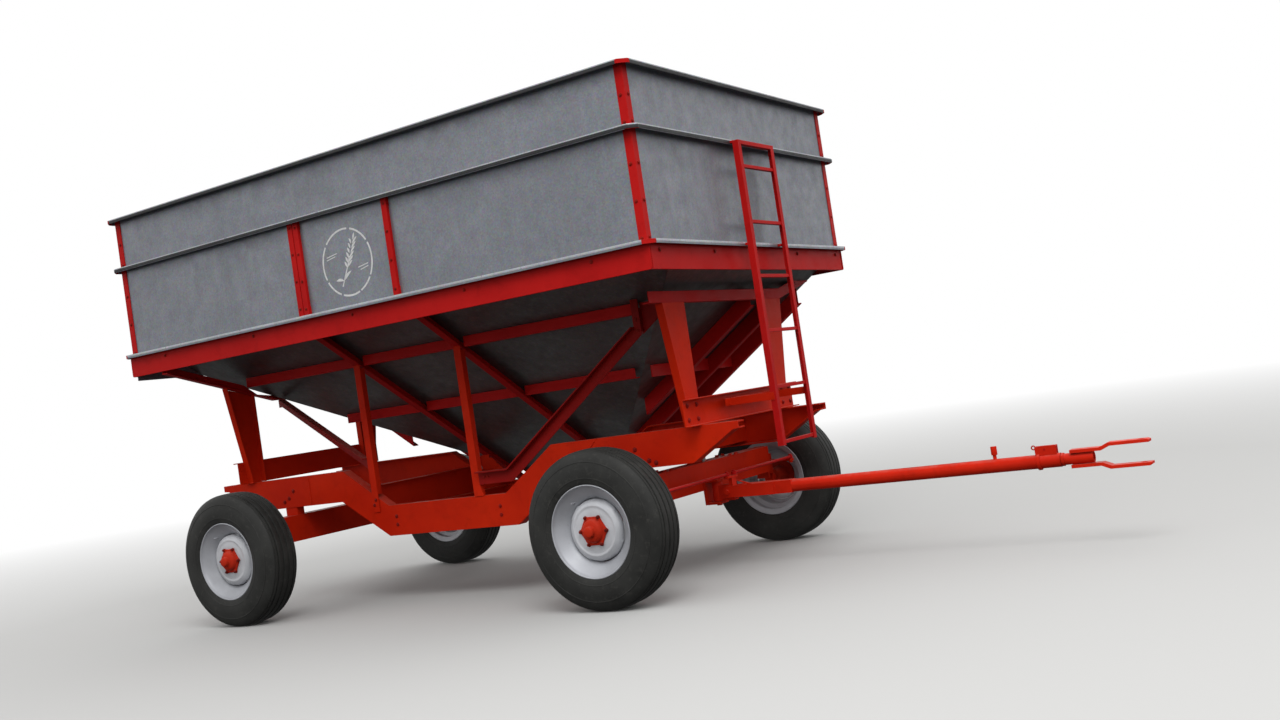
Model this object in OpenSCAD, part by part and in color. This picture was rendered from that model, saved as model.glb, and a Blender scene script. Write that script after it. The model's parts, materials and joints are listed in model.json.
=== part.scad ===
// Gravity wagon: a sloped-bottom grain box on a four-wheel running gear with a steering tongue.
// +X runs forward to the tongue, +Y to the left (unloading) side, +Z up. Lengths are in millimetres.

/* [Grain box] */
// Length of the box over its sheets
box_length = 3830; // [3700:10:3900]
// Width of the box over its sheets
box_width = 2220; // [2180:10:2260]
// Height of the base flange above the ground
base_z = 1735; // [1725:5:1745]
// Height of the joint between the box and its extension
mid_z = 2280; // [2200:10:2360]
// Height of the top edge
top_z = 2590; // [2500:10:2700]
// Thickness of the box and hopper sheets
sheet_t = 3; // [2:0.5:4]
// Width of the flanges round the box
flange_w = 50; // [40:5:60]
// Depth of the turned-down lip on a flange
lip_h = 18; // [10:1:24]
// Depth of the red skirt rail below the base flange
skirt_h = 136; // [120:4:140]

/* [Hopper] */
// Rise over run of the long side slope
side_rise = 0.625; // [0.60:0.005:0.65]
// Height of the side slope's underside above the right frame rail
side_z = 1526; // [1510:2:1540]
// Rise over run of the front slope
front_rise = 0.666; // [0.650:0.002:0.670]
// Height where the front slope's underside would cross mid-length
front_z = 451; // [445:1:455]
// Rise over run of the rear slope
rear_rise = 0.71; // [0.70:0.002:0.72]
// Height where the rear slope's underside would cross mid-length
rear_z = 222; // [214:2:230]
// Depth of the ribs under the side slope, square to the sheet
rib_h = 60; // [50:2:66]

/* [Frame] */
// Distance from the middle of the wagon to a frame rail's outer face
rail_y = 541; // [530:1:550]
// Height of the rails' upper flange over the axles
rail_top = 828; // [820:2:836]
// Height of the rails' lower edge over the axles
rail_bottom = 640; // [636:1:650]
// Plate thickness of the rails
rail_t = 8; // [6:1:10]

/* [Running gear] */
// Distance from mid-length to the front axle
front_axle_x = 1341; // [1330:1:1350]
// Distance from mid-length to the rear axle
rear_axle_x = 1345; // [1335:1:1355]
// Distance from the middle of the wagon to the middle of a tyre
track_half = 988; // [984:1:996]
// Outer radius of a tyre
tyre_r = 400; // [396:1:404]
// Width of a tyre
tyre_w = 233; // [225:1:240]

/* [Tongue] */
// Height of the tongue's centre line
tongue_z = 425; // [420:1:430]
// Distance from mid-length to the upright tongue pivot
steer_x = 1463; // [1458:1:1468]
// Distance from mid-length to the lift pin
lift_x = 1545; // [1540:1:1550]
// Distance from mid-length to the tip of the hitch
hitch_tip_x = 3765; // [3750:5:3850]
// Outer radius of the tongue tube
tongue_r = 34; // [32:1:36]
// Radius of the drawbar pin hole
hitch_hole_r = 16; // [13:0.5:18]

/* [Unloading door] */
// Lowest point of the door opening
door_z = 506; // [504:1:510]
// Height of the door opening
door_h = 374; // [300:2:380]
// Teeth on the door pinion
pinion_teeth = 12; // [12:1:12]
// Module of the rack and pinion
gear_module = 5; // [5:1:5]
// Radius of the handwheel
handwheel_r = 170; // [120:5:180]

/* [Hidden] */

$fn = 48;
red = [0.66, 0.12, 0.10];
orange_red = [0.74, 0.17, 0.06];
sheet_grey = [0.52, 0.54, 0.56];
shade_grey = [0.36, 0.35, 0.34];
tyre_black = [0.16, 0.16, 0.16];
rim_silver = [0.72, 0.73, 0.76];

wall_x = box_length / 2;
wall_y = box_width / 2;
in_x = wall_x - sheet_t;
in_y = wall_y - sheet_t;
skirt_t = 15;
skirt_z = base_z - skirt_h;
corner_cut = 38;

// The unloading side carries the chute and handwheel, so the footprint's middle is left of the wagon's.
chute_tip_y = wall_y + 180;
origin_x = (hitch_tip_x - wall_x - flange_w) / 2;
origin_y = (chute_tip_y - wall_y - flange_w) / 2;

// Undersides of the three slopes.
function side_under(y) = side_z - side_rise * (y + rail_y);
function front_under(x) = front_z + front_rise * x;
function rear_under(x) = rear_z - rear_rise * x;
// Places across the wagon where the side slope reaches a height, and the folds between the slopes.
function side_y(z) = (side_z - z) / side_rise - rail_y;
function front_fold(y) = (side_under(y) - front_z) / front_rise;
function rear_fold(y) = (rear_z - side_under(y)) / rear_rise;
side_lift = sheet_t * sqrt(1 + side_rise * side_rise);
front_lift = sheet_t * sqrt(1 + front_rise * front_rise);
rear_lift = sheet_t * sqrt(1 + rear_rise * rear_rise);
front_corner_y = side_y(front_under(in_x));
rear_corner_y = side_y(rear_under(-in_x));
outlet_front = front_fold(in_y);
outlet_rear = rear_fold(in_y);
side_rib = rib_h * sqrt(1 + side_rise * side_rise);
end_rib = 78 * sqrt(1 + front_rise * front_rise);
rib_w = 50;
rib_t = 6;
post_xs = [-595, 206];
post_faces = [[-620, -570], [180, 232]];
belt_y = 0;
chord_y = -520;
chord_h = 55;
hanger_x = [1418, 1462];

// Legs, bolsters and cross beams.
leg_in = 458;
leg_foot = 566;
leg_top = 678;
leg_t = 6;
leg_flange = 45;
leg_x_front = 1690;
leg_x_rear = 1672;
beam_front_z = 1470;
beam_rear_z = 1348;
beam_rear_y = -279;
beam_rear_fall = 0.28;
beam_front_fall = 0.234;
bolster_half = 634;
bolster_top = 970;

// Frame rails: a low middle section between two raised ends.
rail_end = 1950;
rail_low_top = 588;
rail_low_bottom = 405;
rail_flange = 70;

// Running gear.
wheel_z = tyre_r;
rear_beam_z = [428, 590];
front_beam_z = [446, 600];
axle_half_w = 60;
axle_half = 812;
kingpin_y = 850;
kingpin_r = 18;
spindle_r = 22;
stud_ring = 76;
bore_gap = 0.05;
rock_z = 628;
rock_pin_r = 16;
steer_pin_r = 16;
lift_pin_r = 14;
tie_x = 1556;
tie_z = 522;
tie_in = 42;
tie_out = 770;
tie_pin_r = 8;

// Tongue and hitch.
yoke_z = [378, 486];
tube_start = 1900;
tube_end = 3354;
tube_bore = 28;
slide_r = 27.6;
slide_start = 2850;
slide_end = 3507;
tine_start = 3402;
tine_t = 16;
tine_w = 64;
tine_gap = 92;
hitch_pin_x = hitch_tip_x - 38;
latch_x = 3244;

// Unloading door.
door_rear = outlet_rear + 16;
door_front = outlet_front - 16;
gate_t = 4;
gate_lap = 18;
gate_y = wall_y + 1;
gate_top = door_z + door_h + 12;
pitch_r = pinion_teeth * gear_module / 2;
gear_pitch = PI * gear_module;
rack_x = (door_front + door_rear) / 2 - 20;
pinion_x = rack_x + 15 + gear_module + pitch_r;
pinion_z = 1090;
shaft_r = 12.5;
bridge_y = gate_y + 40;
wheel_y = wall_y + 128;

ladder_x = 1978;
ladder_half = 210;
ladder_top = 2275;
ladder_bottom = 655;
rung_zs = [673, 963, 1262, 1553, 1843, 2139];

module at_origin() {
  translate([-origin_x, -origin_y, 0]) children();
}

module block(x, y, z) {
  translate([x[0], y[0], z[0]]) cube([x[1] - x[0], y[1] - y[0], z[1] - z[0]]);
}

// An outline in the X-Z plane carried across the wagon.
module side_profile(points, y) {
  translate([0, y[1], 0]) rotate([90, 0, 0]) linear_extrude(y[1] - y[0]) polygon(points);
}

// An outline in the Y-Z plane carried along the wagon.
module cross_profile(points, x) {
  translate([x[0], 0, 0]) rotate([90, 0, 90]) linear_extrude(x[1] - x[0]) polygon(points);
}

module plan_profile(points, z) {
  translate([0, 0, z[0]]) linear_extrude(z[1] - z[0]) polygon(points);
}

module right_side() {
  mirror([0, 1, 0]) children();
}

module both_sides() {
  children();
  right_side() children();
}

module rod_x(r, x, y, z) {
  translate([x[0], y, z]) rotate([0, 90, 0]) cylinder(r = r, h = x[1] - x[0]);
}

module rod_y(r, x, y, z) {
  translate([x, y[1], z]) rotate([90, 0, 0]) cylinder(r = r, h = y[1] - y[0]);
}

module rod_z(r, x, y, z) {
  translate([x, y, z[0]]) cylinder(r = r, h = z[1] - z[0]);
}

// ---- grain box ----

// A flange at the left wall, with its edge turned down.
module side_flange(z, lip) {
  block([-wall_x, wall_x], [wall_y - sheet_t, wall_y + flange_w], [z, z + sheet_t]);
  block([-wall_x, wall_x], [wall_y + flange_w - sheet_t, wall_y + flange_w], [z - lip, z + sheet_t]);
}

module end_flange(z, lip) {
  block([wall_x - sheet_t, wall_x + flange_w], [-in_y, in_y], [z, z + sheet_t]);
  block([wall_x + flange_w - sheet_t, wall_x + flange_w], [-in_y, in_y], [z - lip, z + sheet_t]);
}

module side_panel() {
  color(sheet_grey) {
    block([-wall_x, wall_x], [in_y, wall_y], [base_z, mid_z]);
    side_flange(base_z, lip_h);
    side_flange(mid_z - sheet_t, lip_h);
  }
}

module end_panel(low_z) {
  color(sheet_grey) {
    block([in_x, wall_x], [-in_y, in_y], [low_z, mid_z]);
    end_flange(base_z, lip_h);
    end_flange(mid_z - sheet_t, lip_h);
  }
}

module extension_side() {
  color(sheet_grey) {
    block([-wall_x, wall_x], [in_y, wall_y], [mid_z, top_z]);
    side_flange(mid_z, 0);
    side_flange(top_z - sheet_t, lip_h);
  }
}

module extension_end() {
  color(sheet_grey) {
    block([in_x, wall_x], [-in_y, in_y], [mid_z, top_z]);
    end_flange(mid_z, 0);
    end_flange(top_z - sheet_t, lip_h);
  }
}

// Bolted angle round a corner, in a lower and an upper length, with a chamfered plate between the flanges.
module corner_post() {
  leg = 40;
  t = 5;
  edge = flange_w - sheet_t;
  cut = flange_w - corner_cut;
  lengths = [[base_z + sheet_t, mid_z - sheet_t], [mid_z + sheet_t, top_z - sheet_t]];
  for (z = lengths)
    plan_profile([[wall_x - leg, wall_y], [wall_x - leg, wall_y + t], [wall_x + t, wall_y + t],
                  [wall_x + t, wall_y - leg], [wall_x, wall_y - leg], [wall_x, wall_y]], z);
  for (z = [[base_z, base_z + sheet_t], [mid_z - sheet_t, mid_z + sheet_t], [top_z - sheet_t, top_z]]) {
    plan_profile([[wall_x, in_y], [wall_x, wall_y + flange_w], [wall_x + cut, wall_y + flange_w],
                  [wall_x + flange_w, wall_y + cut], [wall_x + flange_w, in_y]], z);
    plan_profile([[wall_x, wall_y + edge], [wall_x, wall_y + flange_w], [wall_x + cut, wall_y + flange_w],
                  [wall_x + flange_w, wall_y + cut], [wall_x + flange_w, in_y], [wall_x + edge, in_y],
                  [wall_x + edge, wall_y + cut - 1.2], [wall_x + cut - 1.2, wall_y + edge]],
                 [z[0] - lip_h, z[1]]);
  }
}

module corner_posts() {
  color(red)
    for (end = [0, 1])
      mirror([end, 0, 0]) both_sides() corner_post();
}

// Upright channels on the side panels: a pair behind the middle and one ahead of it.
module panel_stiffeners() {
  color(red)
    for (x = [-402, -358, 322])
      both_sides()
        difference() {
          block([x, x + 38], [wall_y, wall_y + 20], [base_z + sheet_t, mid_z - sheet_t]);
          block([x + 4, x + 34], [wall_y - 1, wall_y + 16], [base_z, mid_z]);
        }
}

module skirt_sides() {
  far = wall_y + skirt_t;
  color(red)
    both_sides()
      cross_profile([[wall_y, skirt_z], [far, skirt_z], [far, base_z], [wall_y, base_z],
                     [wall_y, base_z - 5], [far - 5, base_z - 5], [far - 5, skirt_z + 5],
                     [wall_y, skirt_z + 5]], [-wall_x - skirt_t, wall_x + skirt_t]);
}

module skirt_ends() {
  far = wall_x + skirt_t;
  color(red)
    for (end = [0, 1])
      mirror([end, 0, 0])
        side_profile([[wall_x, skirt_z], [far, skirt_z], [far, base_z], [wall_x, base_z],
                      [wall_x, base_z - 5], [far - 5, base_z - 5], [far - 5, skirt_z + 5],
                      [wall_x, skirt_z + 5]], [-wall_y, wall_y]);
}

// ---- hopper ----

module slope_sheet_side() {
  color(shade_grey)
    intersection() {
      cross_profile([[-in_y, side_under(-in_y)], [in_y, side_under(in_y)],
                     [in_y, side_under(in_y) + side_lift], [-in_y, side_under(-in_y) + side_lift]],
                    [-in_x, in_x]);
      plan_profile([[-in_x, -in_y], [in_x, -in_y], [in_x, front_corner_y], [outlet_front, in_y],
                    [outlet_rear, in_y], [-in_x, rear_corner_y]], [0, top_z]);
    }
}

module slope_sheet_front() {
  color(shade_grey)
    intersection() {
      side_profile([[outlet_front, front_under(outlet_front)], [in_x, front_under(in_x)],
                    [in_x, front_under(in_x) + front_lift],
                    [outlet_front, front_under(outlet_front) + front_lift]], [-in_y, in_y]);
      plan_profile([[in_x, front_corner_y], [in_x, in_y], [outlet_front, in_y]], [0, top_z]);
    }
}

module slope_sheet_rear() {
  color(shade_grey)
    intersection() {
      side_profile([[outlet_rear, rear_under(outlet_rear)], [-in_x, rear_under(-in_x)],
                    [-in_x, rear_under(-in_x) + rear_lift],
                    [outlet_rear, rear_under(outlet_rear) + rear_lift]], [-in_y, in_y]);
      plan_profile([[-in_x, rear_corner_y], [outlet_rear, in_y], [-in_x, in_y]], [0, top_z]);
    }
}

// The upright wall on the unloading side, tapering down to the door.
module discharge_wall() {
  low = side_under(in_y);
  front_low = min(front_under(wall_x), base_z - 2);
  color(shade_grey)
    difference() {
      side_profile([[-wall_x, base_z], [-wall_x, rear_under(-wall_x)], [outlet_rear, low],
                    [outlet_front, low], [wall_x, front_low], [wall_x, base_z]], [in_y, wall_y]);
      block([door_rear, door_front], [in_y - 1, wall_y + 1], [door_z, door_z + door_h]);
    }
}

// A rib square across the side slope, from y[0] down to y[1]: an upright leg on a flat foot.
module side_rib_at(x, y) {
  cross_profile([for (p = [[y[0], 0], [y[1], 0], [y[1], side_rib], [y[0], side_rib]])
                 [p[0], side_under(p[0]) - p[1]]], [x - rib_w / 2, x - rib_w / 2 + rib_t]);
  cross_profile([for (p = [[y[0], side_rib - rib_t], [y[1], side_rib - rib_t], [y[1], side_rib],
                           [y[0], side_rib]])
                 [p[0], side_under(p[0]) - p[1]]], [x - rib_w / 2, x + rib_w / 2]);
}

// An angle along the side slope at height y, facing the right side.
module side_chord_at(y, x) {
  top = side_under(y + rib_t);
  block(x, [y, y + rib_t], [top - chord_h, top]);
  block(x, [y, y + 48], [top - chord_h - rib_t, top - chord_h]);
}

module slope_ribs_side() {
  rib_ends = [-in_y + 12, 1040];
  half = rib_w / 2 + 1;
  post_half = half + 10;
  color(red) {
    for (x = post_xs)
      side_rib_at(x, rib_ends);
    for (x = [[-leg_x_rear + 56, post_xs[0] - post_half],
              [post_xs[0] + post_half, post_xs[1] - post_half],
              [post_xs[1] + post_half, hanger_x[1] - 22.5]])
      side_chord_at(chord_y, x);
    for (x = [[-1281, post_xs[0] - half], [post_xs[0] + half, post_xs[1] - half],
              [post_xs[1] + half, front_fold(belt_y) - 70]])
      side_chord_at(belt_y, x);
  }
}

// A rib down an end slope at y, between x[0] and x[1]; under() gives the sheet's underside.
module end_rib_at(y, x, z) {
  side_profile([[x[0], z[0] - 0.2], [x[1], z[1] - 0.2], [x[1], z[1] - end_rib], [x[0], z[0] - end_rib]],
               [y, y + rib_t]);
  side_profile([[x[0], z[0] - end_rib], [x[1], z[1] - end_rib], [x[1], z[1] - end_rib - rib_t],
                [x[0], z[0] - end_rib - rib_t]], [y, y + rib_w]);
}

end_rib_ys = [400, 740, 1048];

module slope_ribs_front() {
  top_x = leg_x_front - leg_flange - 12;
  belt_z = side_under(belt_y);
  belt_x = (belt_z - front_z) / front_rise;
  color(red) {
    for (y = end_rib_ys) {
      low_x = max(front_fold(y) + 90, 40);
      end_rib_at(y, [low_x, top_x], [front_under(low_x), front_under(top_x)]);
    }
    for (y = [[60, end_rib_ys[0] - 1], [end_rib_ys[0] + rib_w + 1, end_rib_ys[1] - 1],
              [end_rib_ys[1] + rib_w + 1, end_rib_ys[2] - 1]])
      block([belt_x, belt_x + rib_t], y, [belt_z - side_rib, belt_z]);
  }
}

module slope_ribs_rear() {
  top_x = -leg_x_rear + leg_flange + 12;
  color(red)
    for (y = end_rib_ys) {
      low_x = min(rear_fold(y) - 90, outlet_rear - 110);
      end_rib_at(y, [top_x, low_x], [rear_under(top_x), rear_under(low_x)]);
    }
}

// ---- box supports ----

// A bent angle across the wagon over a pair of legs: path lists [y, z] of its lower edge.
module bent_beam(path, web, depth) {
  back = [for (i = [len(path) - 1 : -1 : 0]) path[i]];
  cross_profile(concat(path, [for (p = back) [p[0], p[1] + depth]]), [web[0], web[1]]);
  cross_profile(concat(path, [for (p = back) [p[0], p[1] + leg_t]]), [web[2], web[3]]);
}

front_path = [[-800, beam_front_z], [leg_top, beam_front_z],
              [wall_y - 4, beam_front_z + beam_front_fall * (wall_y - 4 - leg_top)]];
rear_path = [[-wall_y + 1, beam_rear_z + beam_rear_fall * (wall_y - 1 + beam_rear_y)],
             [beam_rear_y, beam_rear_z], [in_y - 1, beam_rear_z]];

// The left outrigger is trimmed to fit under the front slope.
module cross_beam_front() {
  x = [leg_x_front - leg_flange - 10, leg_x_front + 10];
  color(red)
    difference() {
      bent_beam(front_path, [leg_x_front - leg_t, leg_x_front, leg_x_front - leg_flange, leg_x_front], 60);
      side_profile([[x[0], front_under(x[0]) - 1], [x[1], front_under(x[1]) - 1], [x[1], base_z],
                    [x[0], base_z]], [-560, wall_y + 1]);
    }
}

// The rear beam deepens over the right leg, where the side slope leaves it more room.
module cross_beam_rear() {
  back = [for (i = [len(rear_path) - 1 : -1 : 0]) rear_path[i]];
  right_end = rear_path[0];
  color(red) {
    cross_profile(concat(rear_path, [[in_y - 1, 1384], [beam_rear_y, 1384], [-400, 1400], [-500, 1468],
                                     [right_end[0], right_end[1] + 58]]), [-leg_x_rear, -leg_x_rear + leg_t]);
    cross_profile(concat(rear_path, [for (p = back) [p[0], p[1] + leg_t]]),
                  [-leg_x_rear, -leg_x_rear + leg_flange]);
  }
}

// Tapered channel leg on the left, foot on the rail; top lists the z at its inner and outer edges.
module leg(top) {
  lean = (leg_top - leg_foot) / (beam_front_z - rail_top);
  out_y = [leg_foot, leg_foot + lean * (top[1] - rail_top)];
  cross_profile([[leg_in, rail_top], [out_y[0], rail_top], [out_y[1], top[1]], [leg_in, top[0]]],
                [leg_x_front - leg_t, leg_x_front]);
  cross_profile([[out_y[0] - leg_t, rail_top], [out_y[0], rail_top], [out_y[1], top[1]],
                 [out_y[1] - leg_t, top[1]]], [leg_x_front - leg_flange, leg_x_front]);
  cross_profile([[leg_in, rail_top], [leg_in + leg_t, rail_top], [leg_in + leg_t, top[0]],
                 [leg_in, top[0]]], [leg_x_front - leg_flange, leg_x_front]);
}

module legs_front() {
  color(orange_red)
    both_sides() leg([beam_front_z, beam_front_z]);
}

module legs_rear() {
  near_in = beam_rear_z + beam_rear_fall * (leg_in + beam_rear_y);
  near_out = beam_rear_z + beam_rear_fall * (leg_top - 9 + beam_rear_y);
  color(orange_red)
    mirror([1, 0, 0]) translate([leg_x_rear - leg_x_front, 0, 0]) {
      leg([beam_rear_z, beam_rear_z]);
      right_side() leg([near_in, near_out]);
    }
}

// Channel across the rails, its flanges turned away from the legs.
module bolster(web_x, half) {
  color(orange_red) {
    block([web_x, web_x + 6], [-half, half], [rail_top, bolster_top]);
    for (z = [rail_top, bolster_top - 6])
      block([web_x, web_x + 44], [-half, half], [z, z + 6]);
  }
}

module bolster_front() {
  bolster(leg_x_front, bolster_half);
  // angle that ties the foot of the ladder to the bolster
  color(orange_red) {
    block([leg_x_front + 50, ladder_x + 24], [-ladder_half - 6, -ladder_half], [900, 940]);
    block([leg_x_front + 50, ladder_x + 24], [ladder_half, ladder_half + 6], [900, 940]);
    block([leg_x_front + 44, leg_x_front + 50], [-260, 260], [900, 940]);
    for (y = [-150, 150])
      block([leg_x_front + 6, leg_x_front + 44], [y - 4, y + 4], [900, 940]);
  }
}

module bolster_rear() {
  mirror([1, 0, 0]) bolster(leg_x_rear, bolster_half);
}

rail_upper = [[-rail_end, rail_top], [-845, rail_top], [-500, rail_low_top], [405, rail_low_top],
              [765, rail_top], [rail_end - 9, rail_top]];
rail_lower = [[rail_end - 9, 790], [1906, 786], [1653, rail_bottom], [830, rail_bottom],
              [468, rail_low_bottom], [-521, rail_low_bottom], [-881, rail_bottom],
              [-1653, rail_bottom], [-1906, 786], [-rail_end, 790]];

function lowered(points, by) = [for (p = points) [p[0], p[1] - by]];
function reversed(points) = [for (i = [len(points) - 1 : -1 : 0]) points[i]];

// Channel rail on the left, its flanges turned inwards, with bolted axle clamp plates.
module frame_rail() {
  color(orange_red) {
    side_profile(concat(rail_upper, rail_lower), [rail_y - rail_t, rail_y]);
    side_profile(concat(rail_upper, reversed(lowered(rail_upper, rail_t))),
                 [rail_y - rail_flange, rail_y]);
    side_profile(concat(reversed(rail_lower), lowered(rail_lower, -rail_t)),
                 [rail_y - rail_flange, rail_y]);
  }
}

// Low channels and a slope plate between the rails, and the bridge for the front axle's rocking pin.
module frame_crossmembers() {
  inner = rail_y - rail_t;
  color(orange_red) {
    for (x = [-470, 330]) {
      block([x, x + 6], [-inner, inner], [430, 560]);
      block([x, x + 50], [-inner, inner], [430, 436]);
      block([x, x + 50], [-inner, inner], [554, 560]);
    }
    block([-702, -696], [-inner, inner], [534, 714]);
    block([-702, -664], [-460, 460], [706, 712]);
    block([front_axle_x - 70, front_axle_x + 70], [-inner, inner], [664, 800]);
    for (side = [-1, 1])
      difference() {
        block([front_axle_x + side * 42 - 10, front_axle_x + side * 42 + 10], [-40, 40],
              [rock_z - 22, 664]);
        rod_x(rock_pin_r + bore_gap, [front_axle_x + side * 42 - 11, front_axle_x + side * 42 + 11],
              0, rock_z);
      }
    rear_clamps();
  }
}

// Blocks between the rear axle and the rails.
module rear_clamps() {
  for (side = [-1, 1])
    block([-rear_axle_x - 50, -rear_axle_x + 50], [side * 506 - 30, side * 506 + 30],
          [rear_beam_z[1], rail_bottom]);
}

// Upright angles from the rails to the side slope's ribs; the right pair face outwards.
module support_posts() {
  top = side_under(-rail_y) - side_rib - 0.3;
  color(orange_red)
    for (i = [0, 1]) {
      x = post_faces[i];
      foot = i == 0 ? 556 : rail_low_top;
      inner_foot = i == 0 ? 664 : rail_low_top;
      block(x, [-rail_y - 6, -rail_y], [foot, top]);
      block([x[1] - 6, x[1]], [-rail_y - 6, -508], [inner_foot, side_under(-508) - side_rib - 0.3]);
      block([post_xs[i] - (i == 0 ? 42 : 30), post_xs[i] + 30], [rail_y, rail_y + 6],
            [i == 0 ? 560 : 500, side_under(rail_y + 6) - side_rib - 0.3]);
    }
  color(orange_red)
    side_profile([[post_xs[0] + 30, 596], [-440, 596], [-440, 650], [-545, 752], [post_xs[0] + 30, 752]],
                 [rail_y, rail_y + 6]);
  color(orange_red)
    side_profile([[232, 588], [250, 588], [232, 650]], [-rail_y - 6, -rail_y]);
}

// Angle braces in the plane of the posts, with the hanger and gusset at the front beam.
module diagonal_braces() {
  y = [-rail_y - 7, -rail_y - 1];
  post_face = post_faces[1][1] + 0.5;
  bend = [463, 728];
  rise = 0.688;
  deep = 76;
  foot_x = 252;
  top_x = hanger_x[1];
  hang_top = side_under(y[1]) - 0.5;
  flange = 34;
  color(red) {
    side_profile([[foot_x, bend[1] - deep], [bend[0] + 12, bend[1] - deep],
                  [top_x, bend[1] + rise * (top_x - bend[0]) - deep], [top_x, hang_top],
                  [hanger_x[0], hang_top], [hanger_x[0], bend[1] + rise * (hanger_x[0] - bend[0])],
                  bend, [foot_x, bend[1]]], y);
    side_profile([[post_face, bend[1] - 8], [bend[0] + 3, bend[1] - 8],
                  [hanger_x[0] - 1, bend[1] + rise * (hanger_x[0] - 1 - bend[0]) - 8],
                  [hanger_x[0] - 1, bend[1] + rise * (hanger_x[0] - 1 - bend[0])], bend,
                  [post_face, bend[1]]], [y[0] - flange, y[1]]);
    block([post_face, foot_x + 1], y, [bend[1] - deep, bend[1]]);
    block([top_x - 6, top_x], [y[0], chord_y + 1], [1341, 1478]);
    side_profile([[top_x - 6, 1342], [1546, 1402], [1644.6, 1468], [1644.6, 1506], [top_x - 6, 1506]],
                 [chord_y, chord_y + rib_t]);
    rear_brace();
  }
}

// Rear brace, slanting in from the post to the low joint of the rear beam.
module rear_brace() {
  fall = 0.4657;
  reach = 977;
  far = 1060;
  high = 1345;
  translate([post_faces[0][0] - 2, -rail_y + 5, 0]) rotate([0, 0, -15.65]) {
    side_profile([[0, 821], [0, 890], [-reach, high], [-far, high], [-far, high - 51],
                  [-(high - 51 - 821) / fall, high - 51]], [0, 6]);
    side_profile([[0, 883], [0, 890], [-reach, high], [-reach, high - 7]], [-38, 6]);
  }
}

// ---- ladder ----

// Angle stiles, each held to the box by two pads on the flange lips.
module ladder_stiles() {
  t = 5;
  color(red)
    both_sides() {
      block([ladder_x, ladder_x + 34], [ladder_half - t, ladder_half], [ladder_bottom, ladder_top]);
      block([ladder_x + 34 - t, ladder_x + 34], [ladder_half - 34, ladder_half], [ladder_bottom, ladder_top]);
      for (z = [mid_z - 16, base_z - 14])
        block([wall_x + flange_w, ladder_x + 6], [ladder_half - 34, ladder_half], [z, z + 13]);
    }
}

module ladder_rungs() {
  inner = ladder_half - 5;
  color(red) {
    for (z = rung_zs)
      block([ladder_x + 7, ladder_x + 29], [-inner, inner], [z - 9, z + 9]);
    block([ladder_x + 7, ladder_x + 29], [-inner, inner], [ladder_top - 22, ladder_top]);
    block([ladder_x + 29, ladder_x + 34], [34 - ladder_half, ladder_half - 34],
          [ladder_top - 22, ladder_top]);
  }
}

// ---- running gear ----

module axle_beam_rear() {
  x = [-rear_axle_x - axle_half_w, -rear_axle_x + axle_half_w];
  color(orange_red) {
    block(x, [-axle_half, axle_half], rear_beam_z);
    both_sides() {
      block([-rear_axle_x - 45, -rear_axle_x + 45], [axle_half, axle_half + 22], [345, 560]);
      rod_y(spindle_r, -rear_axle_x, [axle_half + 22, track_half + 100], wheel_z);
      rod_y(34, -rear_axle_x, [axle_half + 22, axle_half + 60], wheel_z);
    }
  }
}

// Rocking front axle: beam, forked ends with their king pins, and the tongue's pivot plates.
module axle_beam_front() {
  x = [front_axle_x - axle_half_w, front_axle_x + axle_half_w];
  fork = [[406, 426], [554, 574]];
  color(orange_red) {
    block(x, [-axle_half + 14, axle_half - 14], front_beam_z);
    difference() {
      block([front_axle_x - 30, front_axle_x + 30], [-34, 34], [front_beam_z[1], rock_z + 30]);
      rod_x(rock_pin_r + bore_gap, [front_axle_x - 31, front_axle_x + 31], 0, rock_z);
    }
    both_sides() {
      block([front_axle_x - 40, front_axle_x + 40], [axle_half - 14, axle_half - 2], [406, 574]);
      for (z = fork) {
        block([front_axle_x - 20, front_axle_x + 20], [axle_half - 2, kingpin_y], z);
        rod_z(20, front_axle_x, kingpin_y, z);
      }
      rod_z(kingpin_r, front_axle_x, kingpin_y, [398, 582]);
    }
    for (z = [yoke_z[0] - 14, yoke_z[1] + 2])
      difference() {
        block([x[1], steer_x + 30], [-50, 50], [z, z + 12]);
        rod_z(steer_pin_r + bore_gap, steer_x, 0, [z - 1, z + 13]);
      }
    block([x[1], x[1] + 12], [-50, 50], [yoke_z[0] - 14, yoke_z[1] + 14]);
    rod_z(steer_pin_r, steer_x, 0, [yoke_z[0] - 24, yoke_z[1] + 20]);
    rod_z(22, steer_x, 0, [yoke_z[1] + 14, yoke_z[1] + 20]);
  }
}

// Fore-and-aft pin on which the front axle rocks.
module axle_pivot_pin() {
  color(orange_red) {
    rod_x(rock_pin_r, [front_axle_x - 60, front_axle_x + 60], 0, rock_z);
    rod_x(22, [front_axle_x + 54, front_axle_x + 62], 0, rock_z);
  }
}

// Steering knuckle on the left: barrel on the king pin, spindle, and an arm to the tie rod.
module knuckle() {
  color(orange_red) {
    difference() {
      union() {
        rod_z(30, front_axle_x, kingpin_y, [427, 553]);
        block([front_axle_x - 30, front_axle_x + 30], [kingpin_y, kingpin_y + 34], [428, 548]);
        block([front_axle_x - 30, front_axle_x + 30], [kingpin_y + 24, kingpin_y + 34], [340, 430]);
      }
      rod_z(kingpin_r + bore_gap, front_axle_x, kingpin_y, [426, 554]);
    }
    rod_y(34, front_axle_x, [kingpin_y + 34, kingpin_y + 52], wheel_z);
    rod_y(spindle_r, front_axle_x, [kingpin_y + 52, track_half + 100], wheel_z);
    plan_profile([[front_axle_x + 24, kingpin_y - 18], [front_axle_x + 24, kingpin_y + 26],
                  [tie_x + 6, tie_out + 22], [tie_x + 22, tie_out], [tie_x + 6, tie_out - 22],
                  [front_axle_x + 73, kingpin_y - 29]], [tie_z - 22, tie_z - 10]);
    rod_z(12, tie_x, tie_out, [tie_z - 34, tie_z - 20]);
  }
}

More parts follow.
